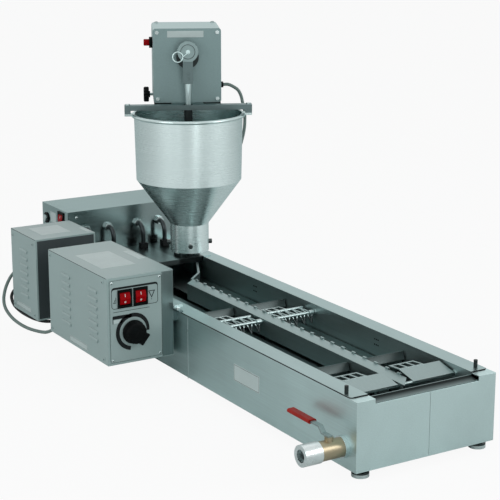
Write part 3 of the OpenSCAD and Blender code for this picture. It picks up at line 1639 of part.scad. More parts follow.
module yoke() {
    u = yoke_l / 2;
    color(steel) head() difference() {
        union() {
            slab([-u, u], [-yoke_w / 2, yoke_w / 2], [yoke_z, motor_z]);
            for (side = [-1, 1]) translate([side * (u - yoke_end_l / 2), 0, 0])
                slab([-yoke_end_l / 2, yoke_end_l / 2], [-ear_w / 2, ear_w / 2], [ear_z[1], motor_z]);
            slab([-arm_w / 2, arm_w / 2], [0, motor_v + motor_l], [yoke_z, motor_z]);
        }
        bar_z(0, 0, [yoke_z - over, motor_z + over], yoke_bore_d);
        post_cut([yoke_z - over, motor_z + over], fit_gap);
        yoke_screw_places() bar_z(0, 0, [ear_z[0] - over, motor_z + over], neck_screw_d + 2 * run_fit);
    }
}

module yoke_screw_places() {
    for (side = [-1, 1]) translate([side * (yoke_l / 2 - yoke_end_l / 2), 0, 0]) children();
}

// Hopper: sheet shell with a rolled rim and two ears
module hopper() {
    r = [neck_d / 2, wall_low_d / 2, wall_top_d / 2];
    color(steel) head() difference() {
        union() {
            rotate_extrude($fn = 128) polygon([
                [r[0] - hopper_t, neck_z], [r[0], neck_z], [r[0], cone_z], [r[1], wall_z], [r[2], hopper_z],
                [r[2] - hopper_t, hopper_z], [r[1] - hopper_t, wall_z + hopper_t / 2],
                [r[0] - hopper_t, cone_z + hopper_t / 2]
            ]);
            rotate_extrude($fn = 128) translate([roll_r, hopper_z - roll_d / 2]) circle(d = roll_d, $fn = 32);
            difference() {
                slab([-yoke_l / 2, yoke_l / 2], [-ear_w / 2, ear_w / 2], ear_z);
                bar_z(0, 0, [ear_z[0] - over, ear_z[1] + over], wall_top_d - hopper_t);
            }
        }
        neck_screw_places() bar_y(0, [-neck_d, 0], 0, neck_screw_d + 2 * run_fit);
        yoke_screw_places() bar_z(0, 0, [ear_z[0] - over, ear_z[1] + over], neck_screw_d + 2 * run_fit);
    }
}

// Neck screws: one at the front and one on each side
module neck_screw_places() {
    turns = [0, 96, -96];
    for (turn = turns) rotate([0, 0, turn]) translate([0, 0, neck_z + neck_screw_h]) children();
}

// Dosing nozzle inside the neck
module nozzle() {
    outer_r = neck_d / 2 - hopper_t - run_fit;
    bore_r = piston_d / 2 + run_fit;
    color(dark_steel) head() difference() {
        bar_z(0, 0, [neck_z, neck_z + nozzle_h], 2 * outer_r);
        bar_z(0, 0, [neck_z - over, neck_z + nozzle_h + over], 2 * bore_r);
        translate([0, 0, neck_z + nozzle_h / 2])
            cylinder(h = nozzle_h / 2 + over, r1 = bore_r, r2 = outer_r - hopper_t);
        neck_screw_places() bar_y(0, [-neck_d, -bore_r - hopper_t], 0, neck_screw_d + 2 * run_fit);
    }
}

// Screws of the head: cover, yoke and neck
module head_screws() {
    head_h = neck_head_d / 2;
    color(chrome) head() {
        cover_screw_places() bar_y(0, [motor_v - motor_t - head_h / 2, motor_v - motor_t], 0, cover_screw_d);
        yoke_screw_places() {
            bar_z(0, 0, [ear_z[0], motor_z + head_h / 2], neck_screw_d);
            bar_z(0, 0, [motor_z, motor_z + head_h / 2], neck_head_d);
        }
        neck_screw_places() {
            bar_y(0, [-neck_d / 2 - neck_head_l, -piston_d / 2 - 2 * hopper_t], 0, neck_screw_d);
            translate([0, -neck_d / 2, 0]) rotate([90, 0, 0])
                cylinder(h = neck_head_l, d = neck_head_d, $fn = 6);
        }
    }
}

casing_front_left();
casing_rear_left();
casing_right();
base_plate();
feet();
bath_tub();
rim_pegs();
lane_divider();
lane_guide();
lane_tray_left();
lane_tray_right();
mid_flipper();
exit_flap();
rear_cover();
heater_elements();
heater_glands();
heater_boots();
terminal_box();
terminal_block();
switch_bezels();
rear_rocker();
reset_button();
power_case();
power_panel();
unit_louvres();
transformer();
control_case();
control_panel();
unit_rear_panels();
controller_board();
heat_rocker();
drive_rocker();
speed_knob();
unit_brackets();
thumb_screws();
cable_glands();
link_cable();
supply_cable();
drain_collar();
valve_body();
valve_cap();
valve_ball();
valve_lever();
lever_sleeve();
post();
clamp_block();
clamp_knob();
motor_box();
motor_cover();
head_screws();
gearmotor();
motor_fittings();
push_button();
motor_cable();
crank_disc();
con_rod();
plunger();
yoke();
hopper();
nozzle();
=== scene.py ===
import math

import bmesh
import bpy
from mathutils import Matrix, Vector


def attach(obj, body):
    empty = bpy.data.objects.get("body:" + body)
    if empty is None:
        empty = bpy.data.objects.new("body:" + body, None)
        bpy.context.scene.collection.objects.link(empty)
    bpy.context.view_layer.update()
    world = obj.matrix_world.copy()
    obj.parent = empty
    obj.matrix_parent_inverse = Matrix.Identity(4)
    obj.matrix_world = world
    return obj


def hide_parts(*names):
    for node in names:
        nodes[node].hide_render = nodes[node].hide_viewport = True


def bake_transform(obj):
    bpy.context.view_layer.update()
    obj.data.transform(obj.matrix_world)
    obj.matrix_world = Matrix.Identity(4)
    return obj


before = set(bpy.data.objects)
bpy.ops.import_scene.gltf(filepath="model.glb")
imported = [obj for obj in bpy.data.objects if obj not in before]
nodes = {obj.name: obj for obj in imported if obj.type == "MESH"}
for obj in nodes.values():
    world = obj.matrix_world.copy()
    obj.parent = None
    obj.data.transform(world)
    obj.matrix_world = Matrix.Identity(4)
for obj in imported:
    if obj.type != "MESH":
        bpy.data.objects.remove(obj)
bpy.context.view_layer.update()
scene = bpy.context.scene

# Places: the source's own axes start at the casing's front left corner, in millimetres
MM = 0.001
ORIGIN_X, ORIGIN_Y = 64.0910372924327, 540.5
YAW = math.radians(26.5)
HOP_X, HOP_Y = 140.0, 727.0
BATH_W, DECK_Z = 250.0, 120.0
BOX_FRONT, BOX_REAR = 953.0, 1072.0
CONTROL_SIDE, CONTROL_TOP = -130.0, 195.0
POWER_SIDE, POWER_TOP = -126.0, 197.0
PANEL_Y = 518.0
KNOB_X, KNOB_Z = -84.0, 99.5


def at(x, y, z):
    return Vector(((x - ORIGIN_X) * MM, (y - ORIGIN_Y) * MM, z * MM))


def head_at(u, v, z):
    """Place in the dosing head's own axes, which start under the hopper and are turned with it."""
    x = HOP_X + u * math.cos(YAW) + v * math.sin(YAW)
    y = HOP_Y - u * math.sin(YAW) + v * math.cos(YAW)
    return at(x, y, z)


X, Y, Z = Vector((1, 0, 0)), Vector((0, 1, 0)), Vector((0, 0, 1))
HEAD_U = Vector((math.cos(YAW), -math.sin(YAW), 0))
HEAD_V = Vector((math.sin(YAW), math.cos(YAW), 0))


def axes(right, up, out, origin):
    """Matrix whose local axes point in three given directions."""
    m = Matrix((right, up, out)).transposed().to_4x4()
    m.translation = origin
    return m


def basis(origin, right, up):
    """Local x is right, y is up and z points out of the face."""
    return axes(right, up, right.cross(up), origin)


BATH = axes(X, Y, Z, at(0, 0, 0))
HEAD = axes(HEAD_U, HEAD_V, Z, head_at(0, 0, 0))

# Camera
CAM_RIGHT = Vector((0.8536, -0.5210, 0.0))
CAM_UP = Vector((0.1277, 0.2093, 0.9695))
CAM_AHEAD = Vector((0.5051, 0.8275, -0.2452))
CAM_PLACE = at(-1132.11, -1569.54, 826.74)
cam_data = bpy.data.cameras.new("camera")
cam_data.lens = 106.15
cam_data.sensor_width = 36.0
cam_data.clip_end = 50.0
camera = bpy.data.objects.new("camera", cam_data)
scene.collection.objects.link(camera)
camera.matrix_world = axes(CAM_RIGHT, CAM_UP, -CAM_AHEAD, CAM_PLACE)
scene.camera = camera
scene.view_settings.view_transform = "Standard"


# Material nodes
class Tree:
    made = {}

    def __init__(self, name):
        self.mat = bpy.data.materials.new(name)
        self.mat.use_nodes = True
        self.nt = self.mat.node_tree
        self.nt.nodes.clear()
        self.out = self.add("ShaderNodeOutputMaterial")
        self.bsdf = self.add("ShaderNodeBsdfPrincipled")
        self.link(self.bsdf.outputs[0], self.out.inputs[0])
        self.coords = self.add("ShaderNodeTexCoord").outputs["Object"]
        Tree.made[name] = self

    @classmethod
    def of(cls, mat):
        return cls.made[mat.name]

    def source(self, socket):
        """The output that feeds a socket of the shader."""
        return self.bsdf.inputs[socket].links[0].from_socket

    def vector(self, operation, a, b=None):
        """Vector maths on an output, with a constant as its second value."""
        node = self.add("ShaderNodeVectorMath", operation=operation)
        self.link(a, node.inputs[0])
        if b is not None:
            node.inputs[1].default_value = b
        return node.outputs

    def along(self, direction, a, b):
        """Share of the way from a to b along one direction of the object."""
        return self.range(self.vector("DOT_PRODUCT", self.coords, direction)["Value"], 0.0, 1.0, a, b)

    def tint_below(self, direction, level, color, soft=0.0002):
        """Another base colour on the near side of a plane."""
        beyond = self.along(direction, level - soft, level + soft)
        self.put("Base Color", self.mix("MIX", beyond, color, self.source("Base Color")))

    def add(self, kind, **values):
        node = self.nt.nodes.new(kind)
        for key, value in values.items():
            setattr(node, key, value)
        return node

    def link(self, a, b):
        self.nt.links.new(a, b)

    def noise(self, scale, detail=2.0, stretch=(1, 1, 1), rough=0.5, distortion=0.0):
        mapping = self.add("ShaderNodeMapping")
        mapping.inputs["Scale"].default_value = stretch
        self.link(self.coords, mapping.inputs["Vector"])
        node = self.add("ShaderNodeTexNoise")
        node.inputs["Scale"].default_value = scale
        node.inputs["Detail"].default_value = detail
        node.inputs["Roughness"].default_value = rough
        node.inputs["Distortion"].default_value = distortion
        self.link(mapping.outputs[0], node.inputs["Vector"])
        return node.outputs["Fac"]

    def ramp(self, fac, low, high, a=0.3, b=0.7):
        node = self.add("ShaderNodeValToRGB")
        node.color_ramp.elements[0].position = a
        node.color_ramp.elements[1].position = b
        node.color_ramp.elements[0].color = (*low, 1)
        node.color_ramp.elements[1].color = (*high, 1)
        self.link(fac, node.inputs[0])
        return node.outputs[0]

    def range(self, fac, low, high, a=0.3, b=0.7):
        node = self.add("ShaderNodeMapRange")
        node.inputs["From Min"].default_value = a
        node.inputs["From Max"].default_value = b
        node.inputs["To Min"].default_value = low
        node.inputs["To Max"].default_value = high
        self.link(fac, node.inputs["Value"])
        return node.outputs[0]

    def mix(self, kind, fac, a, b):
        node = self.add("ShaderNodeMix", data_type="RGBA", blend_type=kind)
        if isinstance(fac, float):
            node.inputs[0].default_value = fac
        else:
            self.link(fac, node.inputs[0])
        for value, socket in ((a, node.inputs[6]), (b, node.inputs[7])):
            if isinstance(value, tuple):
                socket.default_value = (*value, 1)
            else:
                self.link(value, socket)
        return node.outputs[2]

    def bump(self, height, strength, distance, edge):
        """Relief from a height, over edges that look slightly rounded."""
        node = self.add("ShaderNodeBump")
        node.inputs["Strength"].default_value = strength
        node.inputs["Distance"].default_value = distance
        self.link(height, node.inputs["Height"])
        if edge:
            bevel = self.add("ShaderNodeBevel", samples=4)
            bevel.inputs["Radius"].default_value = edge
            self.link(bevel.outputs[0], node.inputs["Normal"])
        self.link(node.outputs[0], self.bsdf.inputs["Normal"])

    def put(self, socket, value):
        target = self.bsdf.inputs[socket]
        if isinstance(value, tuple):
            target.default_value = (*value, 1)
        elif isinstance(value, (int, float)):
            target.default_value = value
        else:
            self.link(value, target)


WHITE = (1.0, 1.0, 1.0)


def tone(color, k):
    return tuple(min(1.0, c * k) for c in color)


def brushed(name, color, grain, rough=(0.30, 0.44), metallic=1.0, smudge=0.07, streak=0.06,
            rake=(0.82, 0.9, 0.9), relief=0.12):
    """Satin steel sheet whose grain runs along one axis, or round it, with faint smudges and scuffs."""
    along, across, depth, edge = 9.0, 700.0, 0.00012, 0.0006
    t = Tree(name)
    t.put("Specular Tint", rake)
    stretch = tuple(along if axis in grain else across for axis in "xyz")
    fine = t.noise(1.0, detail=3.0, stretch=stretch, rough=0.6)
    cloud = t.noise(7.0, detail=4.0, rough=0.55, distortion=0.4)
    lines = t.ramp(fine, tone(color, 1 - streak), tone(color, 1 + streak))
    shade = t.ramp(cloud, tone(WHITE, 1 - smudge), WHITE, 0.35, 0.62)
    t.put("Base Color", t.mix("MULTIPLY", 1.0, lines, shade))
    t.put("Metallic", metallic)
    both = t.mix("MIX", 0.45, fine, cloud)
    t.put("Roughness", t.range(both, *rough))
    t.bump(fine, relief, depth, edge)
    return t.mat


def turned(name, color, rough=(0.18, 0.3)):
    """Bright turned or drawn metal with fine rings and light scratches."""
    relief, depth, edge = 0.1, 0.0001, 0.0004
    t = Tree(name)
    fine = t.noise(420.0, stretch=(1, 1, 3), rough=0.6)
    cloud = t.noise(22.0, detail=3.0)
    rings = t.ramp(fine, tone(color, 0.94), color)
    shade = t.ramp(cloud, tone(WHITE, 0.9), WHITE)
    t.put("Base Color", t.mix("MULTIPLY", 1.0, rings, shade))
    t.put("Metallic", 1.0)
    t.put("Roughness", t.range(cloud, *rough))
    t.bump(fine, relief, depth, edge)
    return t.mat


def enamel(name, color, rough=(0.34, 0.46)):
    """Sprayed satin paint with a fine orange peel and slight clouding."""
    relief, depth, edge = 0.16, 0.0002, 0.0008
    t = Tree(name)
    peel = t.noise(520.0)
    cloud = t.noise(6.0, detail=3.0)
    t.put("Base Color", t.ramp(cloud, tone(color, 0.95), tone(color, 1.03), 0.35, 0.65))
    t.put("Metallic", 0.0)
    t.put("Roughness", t.range(cloud, *rough))
    t.put("Specular IOR Level", 0.5)
    t.bump(peel, relief, depth, edge)
    return t.mat


def moulded(name, color, rough, grain=900.0, relief=0.2, edge=0.0005, spread=0.12, shine=0.5):
    """Moulded plastic or rubber with a fine spark-eroded grain."""
    depth = 0.0002
    t = Tree(name)
    t.put("Specular IOR Level", shine)
    speckle = t.noise(grain)
    cloud = t.noise(30.0, detail=3.0)
    t.put("Base Color", t.ramp(cloud, tone(color, 1 - spread), tone(color, 1 + spread)))
    t.put("Roughness", t.range(speckle, *rough))
    t.bump(speckle, relief, depth, edge)
    return t.mat


def steel(level):
    """Cool grey steel of a given red level."""
    return (level, 1.25 * level, 1.245 * level)


def bath_x(x):
    return (x - ORIGIN_X) * MM


def bath_y(y):
    return (y - ORIGIN_Y) * MM


def tub_finish(name, color):
    """Tub steel with painted shade on its discharge lip, darkest at its rear edge."""
    shade_front, shade_rear = 2.0, 19.0
    mat = brushed(name, color, "y", (0.28, 0.42), rake=(0.78, 0.86, 0.86))
    t = Tree.of(mat)
    share = t.along(Y, bath_y(shade_front), bath_y(shade_rear))
    # Painted shade: the lip darkens from front to rear, near black at its rear edge
    painted_shade = t.ramp(share, steel(0.17), steel(0.011), 0.0, 0.72)
    past_lip = t.range(share, 0.0, 1.0, 0.955, 0.97)
    t.put("Base Color", t.mix("MIX", past_lip, painted_shade, t.source("Base Color")))
    return mat


def rod_finish(name, eye, bar, sleeve, clip):
    """Cast eye, dull bar, pale turned sleeve below it and a bright wire clip in front."""
    eye_low, bar_foot, clip_back = 509.0, 469.4, -5.8
    mat = turned(name, eye, (0.3, 0.42))
    t = Tree.of(mat)
    t.tint_below(Z, eye_low * MM, bar)
    t.tint_below(Z, bar_foot * MM, sleeve)
    t.tint_below(HEAD_V, HEAD_V.dot(head_at(0, clip_back, 0)), clip)
    return mat


def box_finish(name, cover, front):
    """Satin cover whose front panel is painted darker, a painted reflection of the dark tub and hopper it
    faces.
    """
    front_y = BOX_FRONT + 0.6
    mat = brushed(name, cover, "x", (0.13, 0.24), rake=(0.52, 0.58, 0.58))
    # Painted reflection: the front panel is darkened
    Tree.of(mat).tint_below(Y, bath_y(front_y), front)
    return mat


def tray_finish(name, color, apron):
    """Dark tray whose sloping aprons in front of the weirs are darker still, with painted shade that
    deepens towards each weir.
    """
    weirs, gap, reach = (525.0, 182.0), 0.02, 7.5
    mat = brushed(name, color, "y", (0.3, 0.45), rake=(0.54, 0.68, 0.675))
    t = Tree.of(mat)
    for weir in weirs:
        rear, front = weir - gap, weir - reach
        behind = t.along(Y, bath_y(rear - gap), bath_y(rear + gap))
        before = t.along(Y, bath_y(front - 0.2), bath_y(front + 0.2))
        # Painted shade on each apron, deepening towards its weir
        slope = t.ramp(t.along(Y, bath_y(front), bath_y(rear)), apron, tone(apron, 0.35), 0.25, 1.0)
        floor_color = t.source("Base Color")
        covered = t.mix("MIX", behind, slope, floor_color)
        t.put("Base Color", t.mix("MIX", before, floor_color, covered))
    return mat


def shelf_finish(name, color, painted_shade, edge):
    """Dark cover, painted near black as painted shade beside the batter's drop, with a lighter edge on the
    right rim.
    """
    shade_x, rim_x, fade = 165.0, 217.6, 0.003
    mat = brushed(name, edge, "x", (0.3, 0.45))
    t = Tree.of(mat)
    # Painted shade: near black from the batter's drop to the right rim
    t.tint_below(X, bath_x(rim_x), painted_shade)
    t.tint_below(X, bath_x(shade_x), color, fade)
    return mat


def footed(mat, level, color):
    """The same material with another colour below a height."""
    Tree.of(mat).tint_below(Z, level * MM, color)
    return mat


def hopper_finish(name, color, inner_shade, rim):
    """Bright wall with a darker rolled rim and painted shade on its inner side; the wall widens from its
    foot up.
    """
    foot_z, rim_z, foot_r, rim_r, wall_t = 298.0, 417.0, 95.0, 97.5, 1.5
    roll_z = 412.0
    mat = brushed(name, color, "xy", (0.22, 0.32), smudge=0.03, streak=0.012, relief=0.03)
    t = Tree.of(mat)
    rolled = t.along(Z, (roll_z - 0.3) * MM, (roll_z + 0.3) * MM)
    t.put("Base Color", t.mix("MIX", rolled, t.source("Base Color"), rim))
    out = t.vector("SUBTRACT", t.coords, head_at(0, 0, 0))[0]
    flat = t.vector("MULTIPLY", out, (1, 1, 0))[0]
    radius = t.vector("LENGTH", flat)["Value"]
    upright = t.add("ShaderNodeMath", operation="MULTIPLY_ADD")
    upright.inputs[1].default_value = (foot_r - rim_r) * MM
    t.link(t.along(Z, foot_z * MM, rim_z * MM), upright.inputs[0])
    t.link(radius, upright.inputs[2])
    middle = foot_r - wall_t / 2
    outside = t.range(upright.outputs[0], 0.0, 1.0, (middle - 0.2) * MM, (middle + 0.2) * MM)
    wall = t.along(Z, (foot_z - 0.5) * MM, (foot_z + 0.5) * MM)
    steel_color = t.source("Base Color")
    # Painted shade: the inner side of the wall is darker
    sides = t.mix("MIX", outside, inner_shade, steel_color)
    t.put("Base Color", t.mix("MIX", wall, steel_color, sides))
    return mat


PALE = (0.6, 0.69, 0.69)
SMOKED = (0.135, 0.185, 0.187)

m_casing = brushed("casing_steel", steel(0.53), "y")
m_tub = tub_finish("tub_steel", steel(0.38))
m_tray = tray_finish("tray_steel", steel(0.15), steel(0.075))
m_lane = brushed("lane_steel", steel(0.29), "y", (0.3, 0.42))
m_shelf = shelf_finish("shelf_steel", steel(0.1), steel(0.02), steel(0.38))
m_box = box_finish("box_steel", steel(0.42), steel(0.25))
m_flange = brushed("flange_steel", steel(0.21), "z", (0.26, 0.38))
m_hopper = hopper_finish("hopper_steel", (0.77, 0.88, 0.877), steel(0.52), (0.5, 0.6, 0.596))
m_motor = brushed("motor_steel", steel(0.38), "y", (0.32, 0.44))
m_cover = brushed("cover_steel", (0.215, 0.3, 0.302), "x", (0.4, 0.52), metallic=0.8)
m_yoke = brushed("yoke_steel", SMOKED, "x", (0.3, 0.42))
m_post = footed(turned("post_steel", steel(0.5)), 135.0, steel(0.06))
m_bright = turned("bright_steel", PALE)
m_screw = footed(turned("screw_steel", PALE), 230.0, steel(0.06))
m_rod = rod_finish("rod_steel", (0.27, 0.36, 0.36), SMOKED, steel(0.4), steel(0.6))
# Feet painted dark above their bottom disc: painted shadow under the casing
m_foot = footed(turned("foot_steel", steel(0.05)), 5.0, (0.62, 0.7, 0.7))
m_dull = turned("dull_steel", steel(0.3), (0.32, 0.46))
# Mid flipper painted dark below the tray level: painted shade in the discharge slot
m_wire = footed(turned("wire_steel", steel(0.42), (0.3, 0.42)), 103.5, steel(0.05))
m_dark = turned("dark_steel", steel(0.035), (0.34, 0.5))
m_heater = turned("heater_tube", (0.055, 0.065, 0.068), (0.28, 0.42))
m_paint = enamel("unit_paint", (0.335, 0.435, 0.43))
m_panel = enamel("panel_paint", (0.335, 0.425, 0.42), (0.3, 0.4))
# Power unit's front panel painted near black: painted shade in the gap behind the control unit
m_shade = enamel("painted_shade_panel", (0.04, 0.052, 0.056), (0.4, 0.55))
m_black = moulded("black_plastic", (0.003, 0.0038, 0.004), (0.36, 0.52), shine=0.06)
m_rubber = moulded("black_rubber", (0.009, 0.011, 0.012), (0.5, 0.7), 600.0, 0.25, shine=0.2)
m_red = moulded("red_plastic", (0.3, 0.001, 0.0032), (0.2, 0.32), 400.0, 0.05, shine=0.05)
m_sleeve = moulded("red_sleeve", (0.33, 0.014, 0.008), (0.36, 0.5), 500.0, 0.2, shine=0.15)
m_brass = turned("valve_brass", (0.40, 0.345, 0.235), (0.28, 0.42))
m_cap = turned("pale_cap", (0.70, 0.77, 0.77), (0.24, 0.36))
m_cable = moulded("grey_cable", (0.18, 0.235, 0.22), (0.4, 0.54), 700.0, 0.12, shine=0.3)
m_dark_cable = moulded("black_cable", (0.018, 0.02, 0.021), (0.4, 0.55), 700.0, 0.12, shine=0.3)
m_ink = moulded("black_ink", (0.006, 0.008, 0.009), (0.45, 0.55), 500.0, 0.05, edge=0.0, shine=0.2)
m_white = moulded("white_ink", (0.78, 0.8, 0.8), (0.4, 0.5), 500.0, 0.05, edge=0.0)
m_label = moulded("bare_label", (0.50, 0.585, 0.58), (0.35, 0.5), 350.0, 0.06, edge=0.0, spread=0.04)

looks = {
    m_casing: "casing_front_left casing_rear_left casing_right base_plate",
    m_tub: "bath_tub",
    m_tray: "lane_tray_left lane_tray_right",
    m_lane: "lane_divider lane_guide exit_flap",
    m_shelf: "rear_cover",
    m_box: "terminal_box",
    m_hopper: "hopper",
    m_motor: "motor_box",
    m_cover: "motor_cover",
    m_yoke: "yoke clamp_block unit_brackets",
    m_post: "post",
    m_screw: "head_screws",
    m_bright: "heater_glands drain_collar valve_ball reset_button thumb_screws",
    m_foot: "feet",
    m_rod: "con_rod",
    m_dull: "gearmotor nozzle valve_lever",
    m_wire: "mid_flipper",
    m_dark: "crank_disc plunger rim_pegs",
    m_heater: "heater_elements",
    m_paint: "power_case control_case unit_rear_panels unit_louvres",
    m_panel: "control_panel",
    m_shade: "power_panel",
    m_black: "switch_bezels speed_knob clamp_knob motor_fittings cable_glands terminal_block "
             "controller_board transformer",
    m_rubber: "heater_boots",
    m_red: "rear_rocker heat_rocker drive_rocker push_button",
    m_sleeve: "lever_sleeve",
    m_brass: "valve_body",
    m_cap: "valve_cap",
    m_dark_cable: "supply_cable",
    m_cable: "link_cable motor_cable",
}
for mat, names in looks.items():
    for n in names.split():
        nodes[n].data.materials.clear()
        nodes[n].data.materials.append(mat)


# Mesh helpers
def finish_piece(name, bm, mat, body, matrix=None, smooth=True):
    if matrix is not None:
        bmesh.ops.transform(bm, matrix=matrix, verts=bm.verts)
    bmesh.ops.recalc_face_normals(bm, faces=bm.faces)
    mesh = bpy.data.meshes.new(name)
    bm.to_mesh(mesh)
    bm.free()
    mesh.materials.append(mat)
    obj = bpy.data.objects.new(name, mesh)
    scene.collection.objects.link(obj)
    if smooth:
        mesh.shade_smooth()
        mesh.set_sharp_from_angle(angle=math.radians(35))
    if body:
        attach(obj, body)
    return obj


def smooth_path(points, per=10):
    """Catmull-Rom points through a list of points."""
    out = []
    p = [points[0] * 2 - points[1]] + list(points) + [points[-1] * 2 - points[-2]]
    for i in range(1, len(p) - 2):
        for k in range(per):
            t = k / per
            a = 2 * p[i]
            b = p[i + 1] - p[i - 1]
            c = 2 * p[i - 1] - 5 * p[i] + 4 * p[i + 1] - p[i + 2]
            d = -p[i - 1] + 3 * p[i] - 3 * p[i + 1] + p[i + 2]
            out.append(0.5 * (a + b * t + c * t * t + d * t * t * t))
    out.append(points[-1])
    return out


def stitch(bm, a, b):
    """Faces between two closed rings of as many points."""
    n = len(a)
    for k in range(n):
        bm.faces.new((a[k], a[(k + 1) % n], b[(k + 1) % n], b[k]))


def tube(bm, path, radius, sides=16):
    tangent = (path[1] - path[0]).normalized()
    normal = tangent.orthogonal().normalized()
    rings = []
    for i, p in enumerate(path):
        t = (path[min(i + 1, len(path) - 1)] - path[max(i - 1, 0)]).normalized()
        normal = (normal - t * normal.dot(t)).normalized()
        side = t.cross(normal)
        rings.append([bm.verts.new(p + radius * (math.cos(a) * normal + math.sin(a) * side))
                      for a in (2 * math.pi * k / sides for k in range(sides))])
    for a, b in zip(rings, rings[1:]):
        stitch(bm, a, b)
    bm.faces.new(list(reversed(rings[0])))
    bm.faces.new(rings[-1])


def level_ring(bm, outline, z):
    return [bm.verts.new((x, y, z)) for x, y in outline]


def prism(bm, outline, z0, z1):
    """Solid between two levels over an outline in the local plane."""
    low = level_ring(bm, outline, z0)
    high = level_ring(bm, outline, z1)
    stitch(bm, low, high)
    bm.faces.new(list(reversed(low)))
    bm.faces.new(high)


def ring_band(bm, outer, inner, z0, z1):
    """Closed band between two outlines that have the same number of points."""
    rings = [level_ring(bm, line, z) for line, z in ((outer, z0), (outer, z1), (inner, z1), (inner, z0))]
    for a, b in zip(rings, rings[1:] + rings[:1]):
        stitch(bm, a, b)


def rounded_outline(x0, y0, x1, y1, r, steps=5):
    corners = ((x1 - r, y1 - r, 0), (x0 + r, y1 - r, 90), (x0 + r, y0 + r, 180), (x1 - r, y0 + r, 270))
    out = []
    for cx, cy, start in corners:
        for k in range(steps + 1):
            a = math.radians(start + 90 * k / steps)
            out.append((cx + r * math.cos(a), cy + r * math.sin(a)))
    return out


def sheet_outline(w, h, inset, r):
    """Rounded outline about the middle of a sheet, set in from its edges."""
    x, y = w / 2 - inset, h / 2 - inset
    return rounded_outline(-x, -y, x, y, r)


def oval(rx, ry, steps):
    angles = [2 * math.pi * k / steps for k in range(steps)]
    return [(rx * math.cos(a), ry * math.sin(a)) for a in angles]


def arc_band(bm, cx, cy, inner_r, outer_r, a0, a1, z0, z1, steps=40):
    """Band along an arc; its outer radius is a function of the share along it."""
    inner, outer = [], []
    for k in range(steps + 1):
        s = k / steps
        a = math.radians(a0 + (a1 - a0) * s)
        for r, line in ((inner_r, inner), (outer_r(s), outer)):
            line.append((cx + r * math.cos(a), cy + r * math.sin(a)))
    prism(bm, outer + inner[::-1], z0, z1)


def revolve(bm, profile, sides=48, wave=None):
    """Turns (radius, height) pairs about local z; wave(angle, k) scales a ring's radius."""
    rings = []
    for k, (r, z) in enumerate(profile):
        if r == 0:
            rings.append([bm.verts.new((0, 0, z))])
            continue
        ring = []
        for i in range(sides):
            a = 2 * math.pi * i / sides
            s = wave(a, k) if wave else 1.0
            ring.append(bm.verts.new((r * s * math.cos(a), r * s * math.sin(a), z)))
        rings.append(ring)
    for a, b in zip(rings, rings[1:]):
        for i in range(sides):
            j = (i + 1) % sides
            quad = [a[i % len(a)], a[j % len(a)], b[j % len(b)], b[i % len(b)]]
            face = list(dict.fromkeys(quad))
            if len(face) > 2:
                bm.faces.new(face)
    for ring in (rings[0], rings[-1]):
        if len(ring) > 1:
            bm.faces.new(ring)


def stamp(bm, places, build):
    """The same form at each of a list of places."""
    for place in places:
        start = len(bm.verts)
        build(bm)
        bm.verts.ensure_lookup_table()
        bmesh.ops.transform(bm, matrix=place, verts=bm.verts[start:])


def scaled(points):
    return [(x * MM, y * MM) for x, y in points]


# Cables
CABLE_D = 0.006


def route(*points):
    return [at(*p) for p in points]


def cable(name, node, points, mat, body=None):
    """Round cable through given points, which stands for a node of the frame."""
    path = smooth_path(points)
    bm = bmesh.new()
    tube(bm, path, CABLE_D / 2)
    lead = finish_piece(name, bm, mat, body)
    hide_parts(node)
    return lead


head_end = head_at(79, 105, 453)
motor_points = [head_at(70, 105, 453), head_end] + route(
    (266, 782, 449), (275, 779, 442), (281, 778, 431), (285, 779, 418), (290, 781, 404), (293, 784, 388),
    (295, 789, 368), (295, 796, 348), (294, 807, 326), (290, 826, 304), (283, 850, 286), (272, 880, 272),
    (259, 912, 262), (245, 942, 257), (231, 968, 254), (220, 985, 249), (215, 993, 242), (215, 993, 224),
    (215, 993, 215))
link_points = route(
    (-96, 938, 112), (-96, 947, 112), (-100, 957, 110), (-109, 961, 103), (-121, 957, 93), (-133, 950, 77),
    (-141, 941, 60), (-145, 925, 47), (-145, 900, 37), (-142, 875, 31), (-136, 850, 27), (-128, 825, 26),
    (-118, 804, 27), (-109, 793, 33), (-103, 789, 42), (-100, 787, 54), (-100, 778, 66), (-100, 769, 66),
    (-100, 760, 66))
supply_points = route(
    (-96, 938, 76), (-96, 947, 76), (-101, 957, 74), (-112, 959, 68), (-121, 952, 58), (-122, 938, 46),
    (-118, 920, 38), (-112, 902, 33), (-103, 882, 29), (-90, 866, 27), (-70, 856, 28), (-46, 852, 30),
    (-27, 852, 30), (-18, 852, 30), (-9, 852, 30))

motor_lead = cable("motor_lead", "motor_cable", motor_points, m_cable)
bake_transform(motor_lead)
cable("link_lead", "link_cable", link_points, m_cable, "fryer")
cable("supply_lead", "supply_cable", supply_points, m_dark_cable, "fryer")


# Control panel print: frame, symbols and dial band, as outlines in bath x and height
PRINT_T = 0.12
FRAME_BOX = (-122.5, 142.0, -37.0, 178.4)
FRAME_R, FRAME_LINE, FRAME_HEAD = 5.0, 0.9, 3.5
SHEET_BOX = (-126.0, 50.5, -30.0, 190.5)
SHEET_R, SHEET_LINE = 2.5, 0.4
BAND_IN, BAND_OUT, BAND_TAPER, BAND_TAPER_FROM = 24.9, 31.8, 1.6, 0.75
BAND_START, BAND_END = 260, -4


def printed(name, build, mat=m_ink):
    bm = bmesh.new()
    build(bm, 0.0, PRINT_T * MM)
    finish_piece(name, bm, mat, "fryer", basis(at(0, PANEL_Y, 0), X, Z), smooth=False)


def filled(*outlines):
    def build(bm, z0, z1):
        for outline in outlines:
            prism(bm, scaled(outline), z0, z1)
    return build


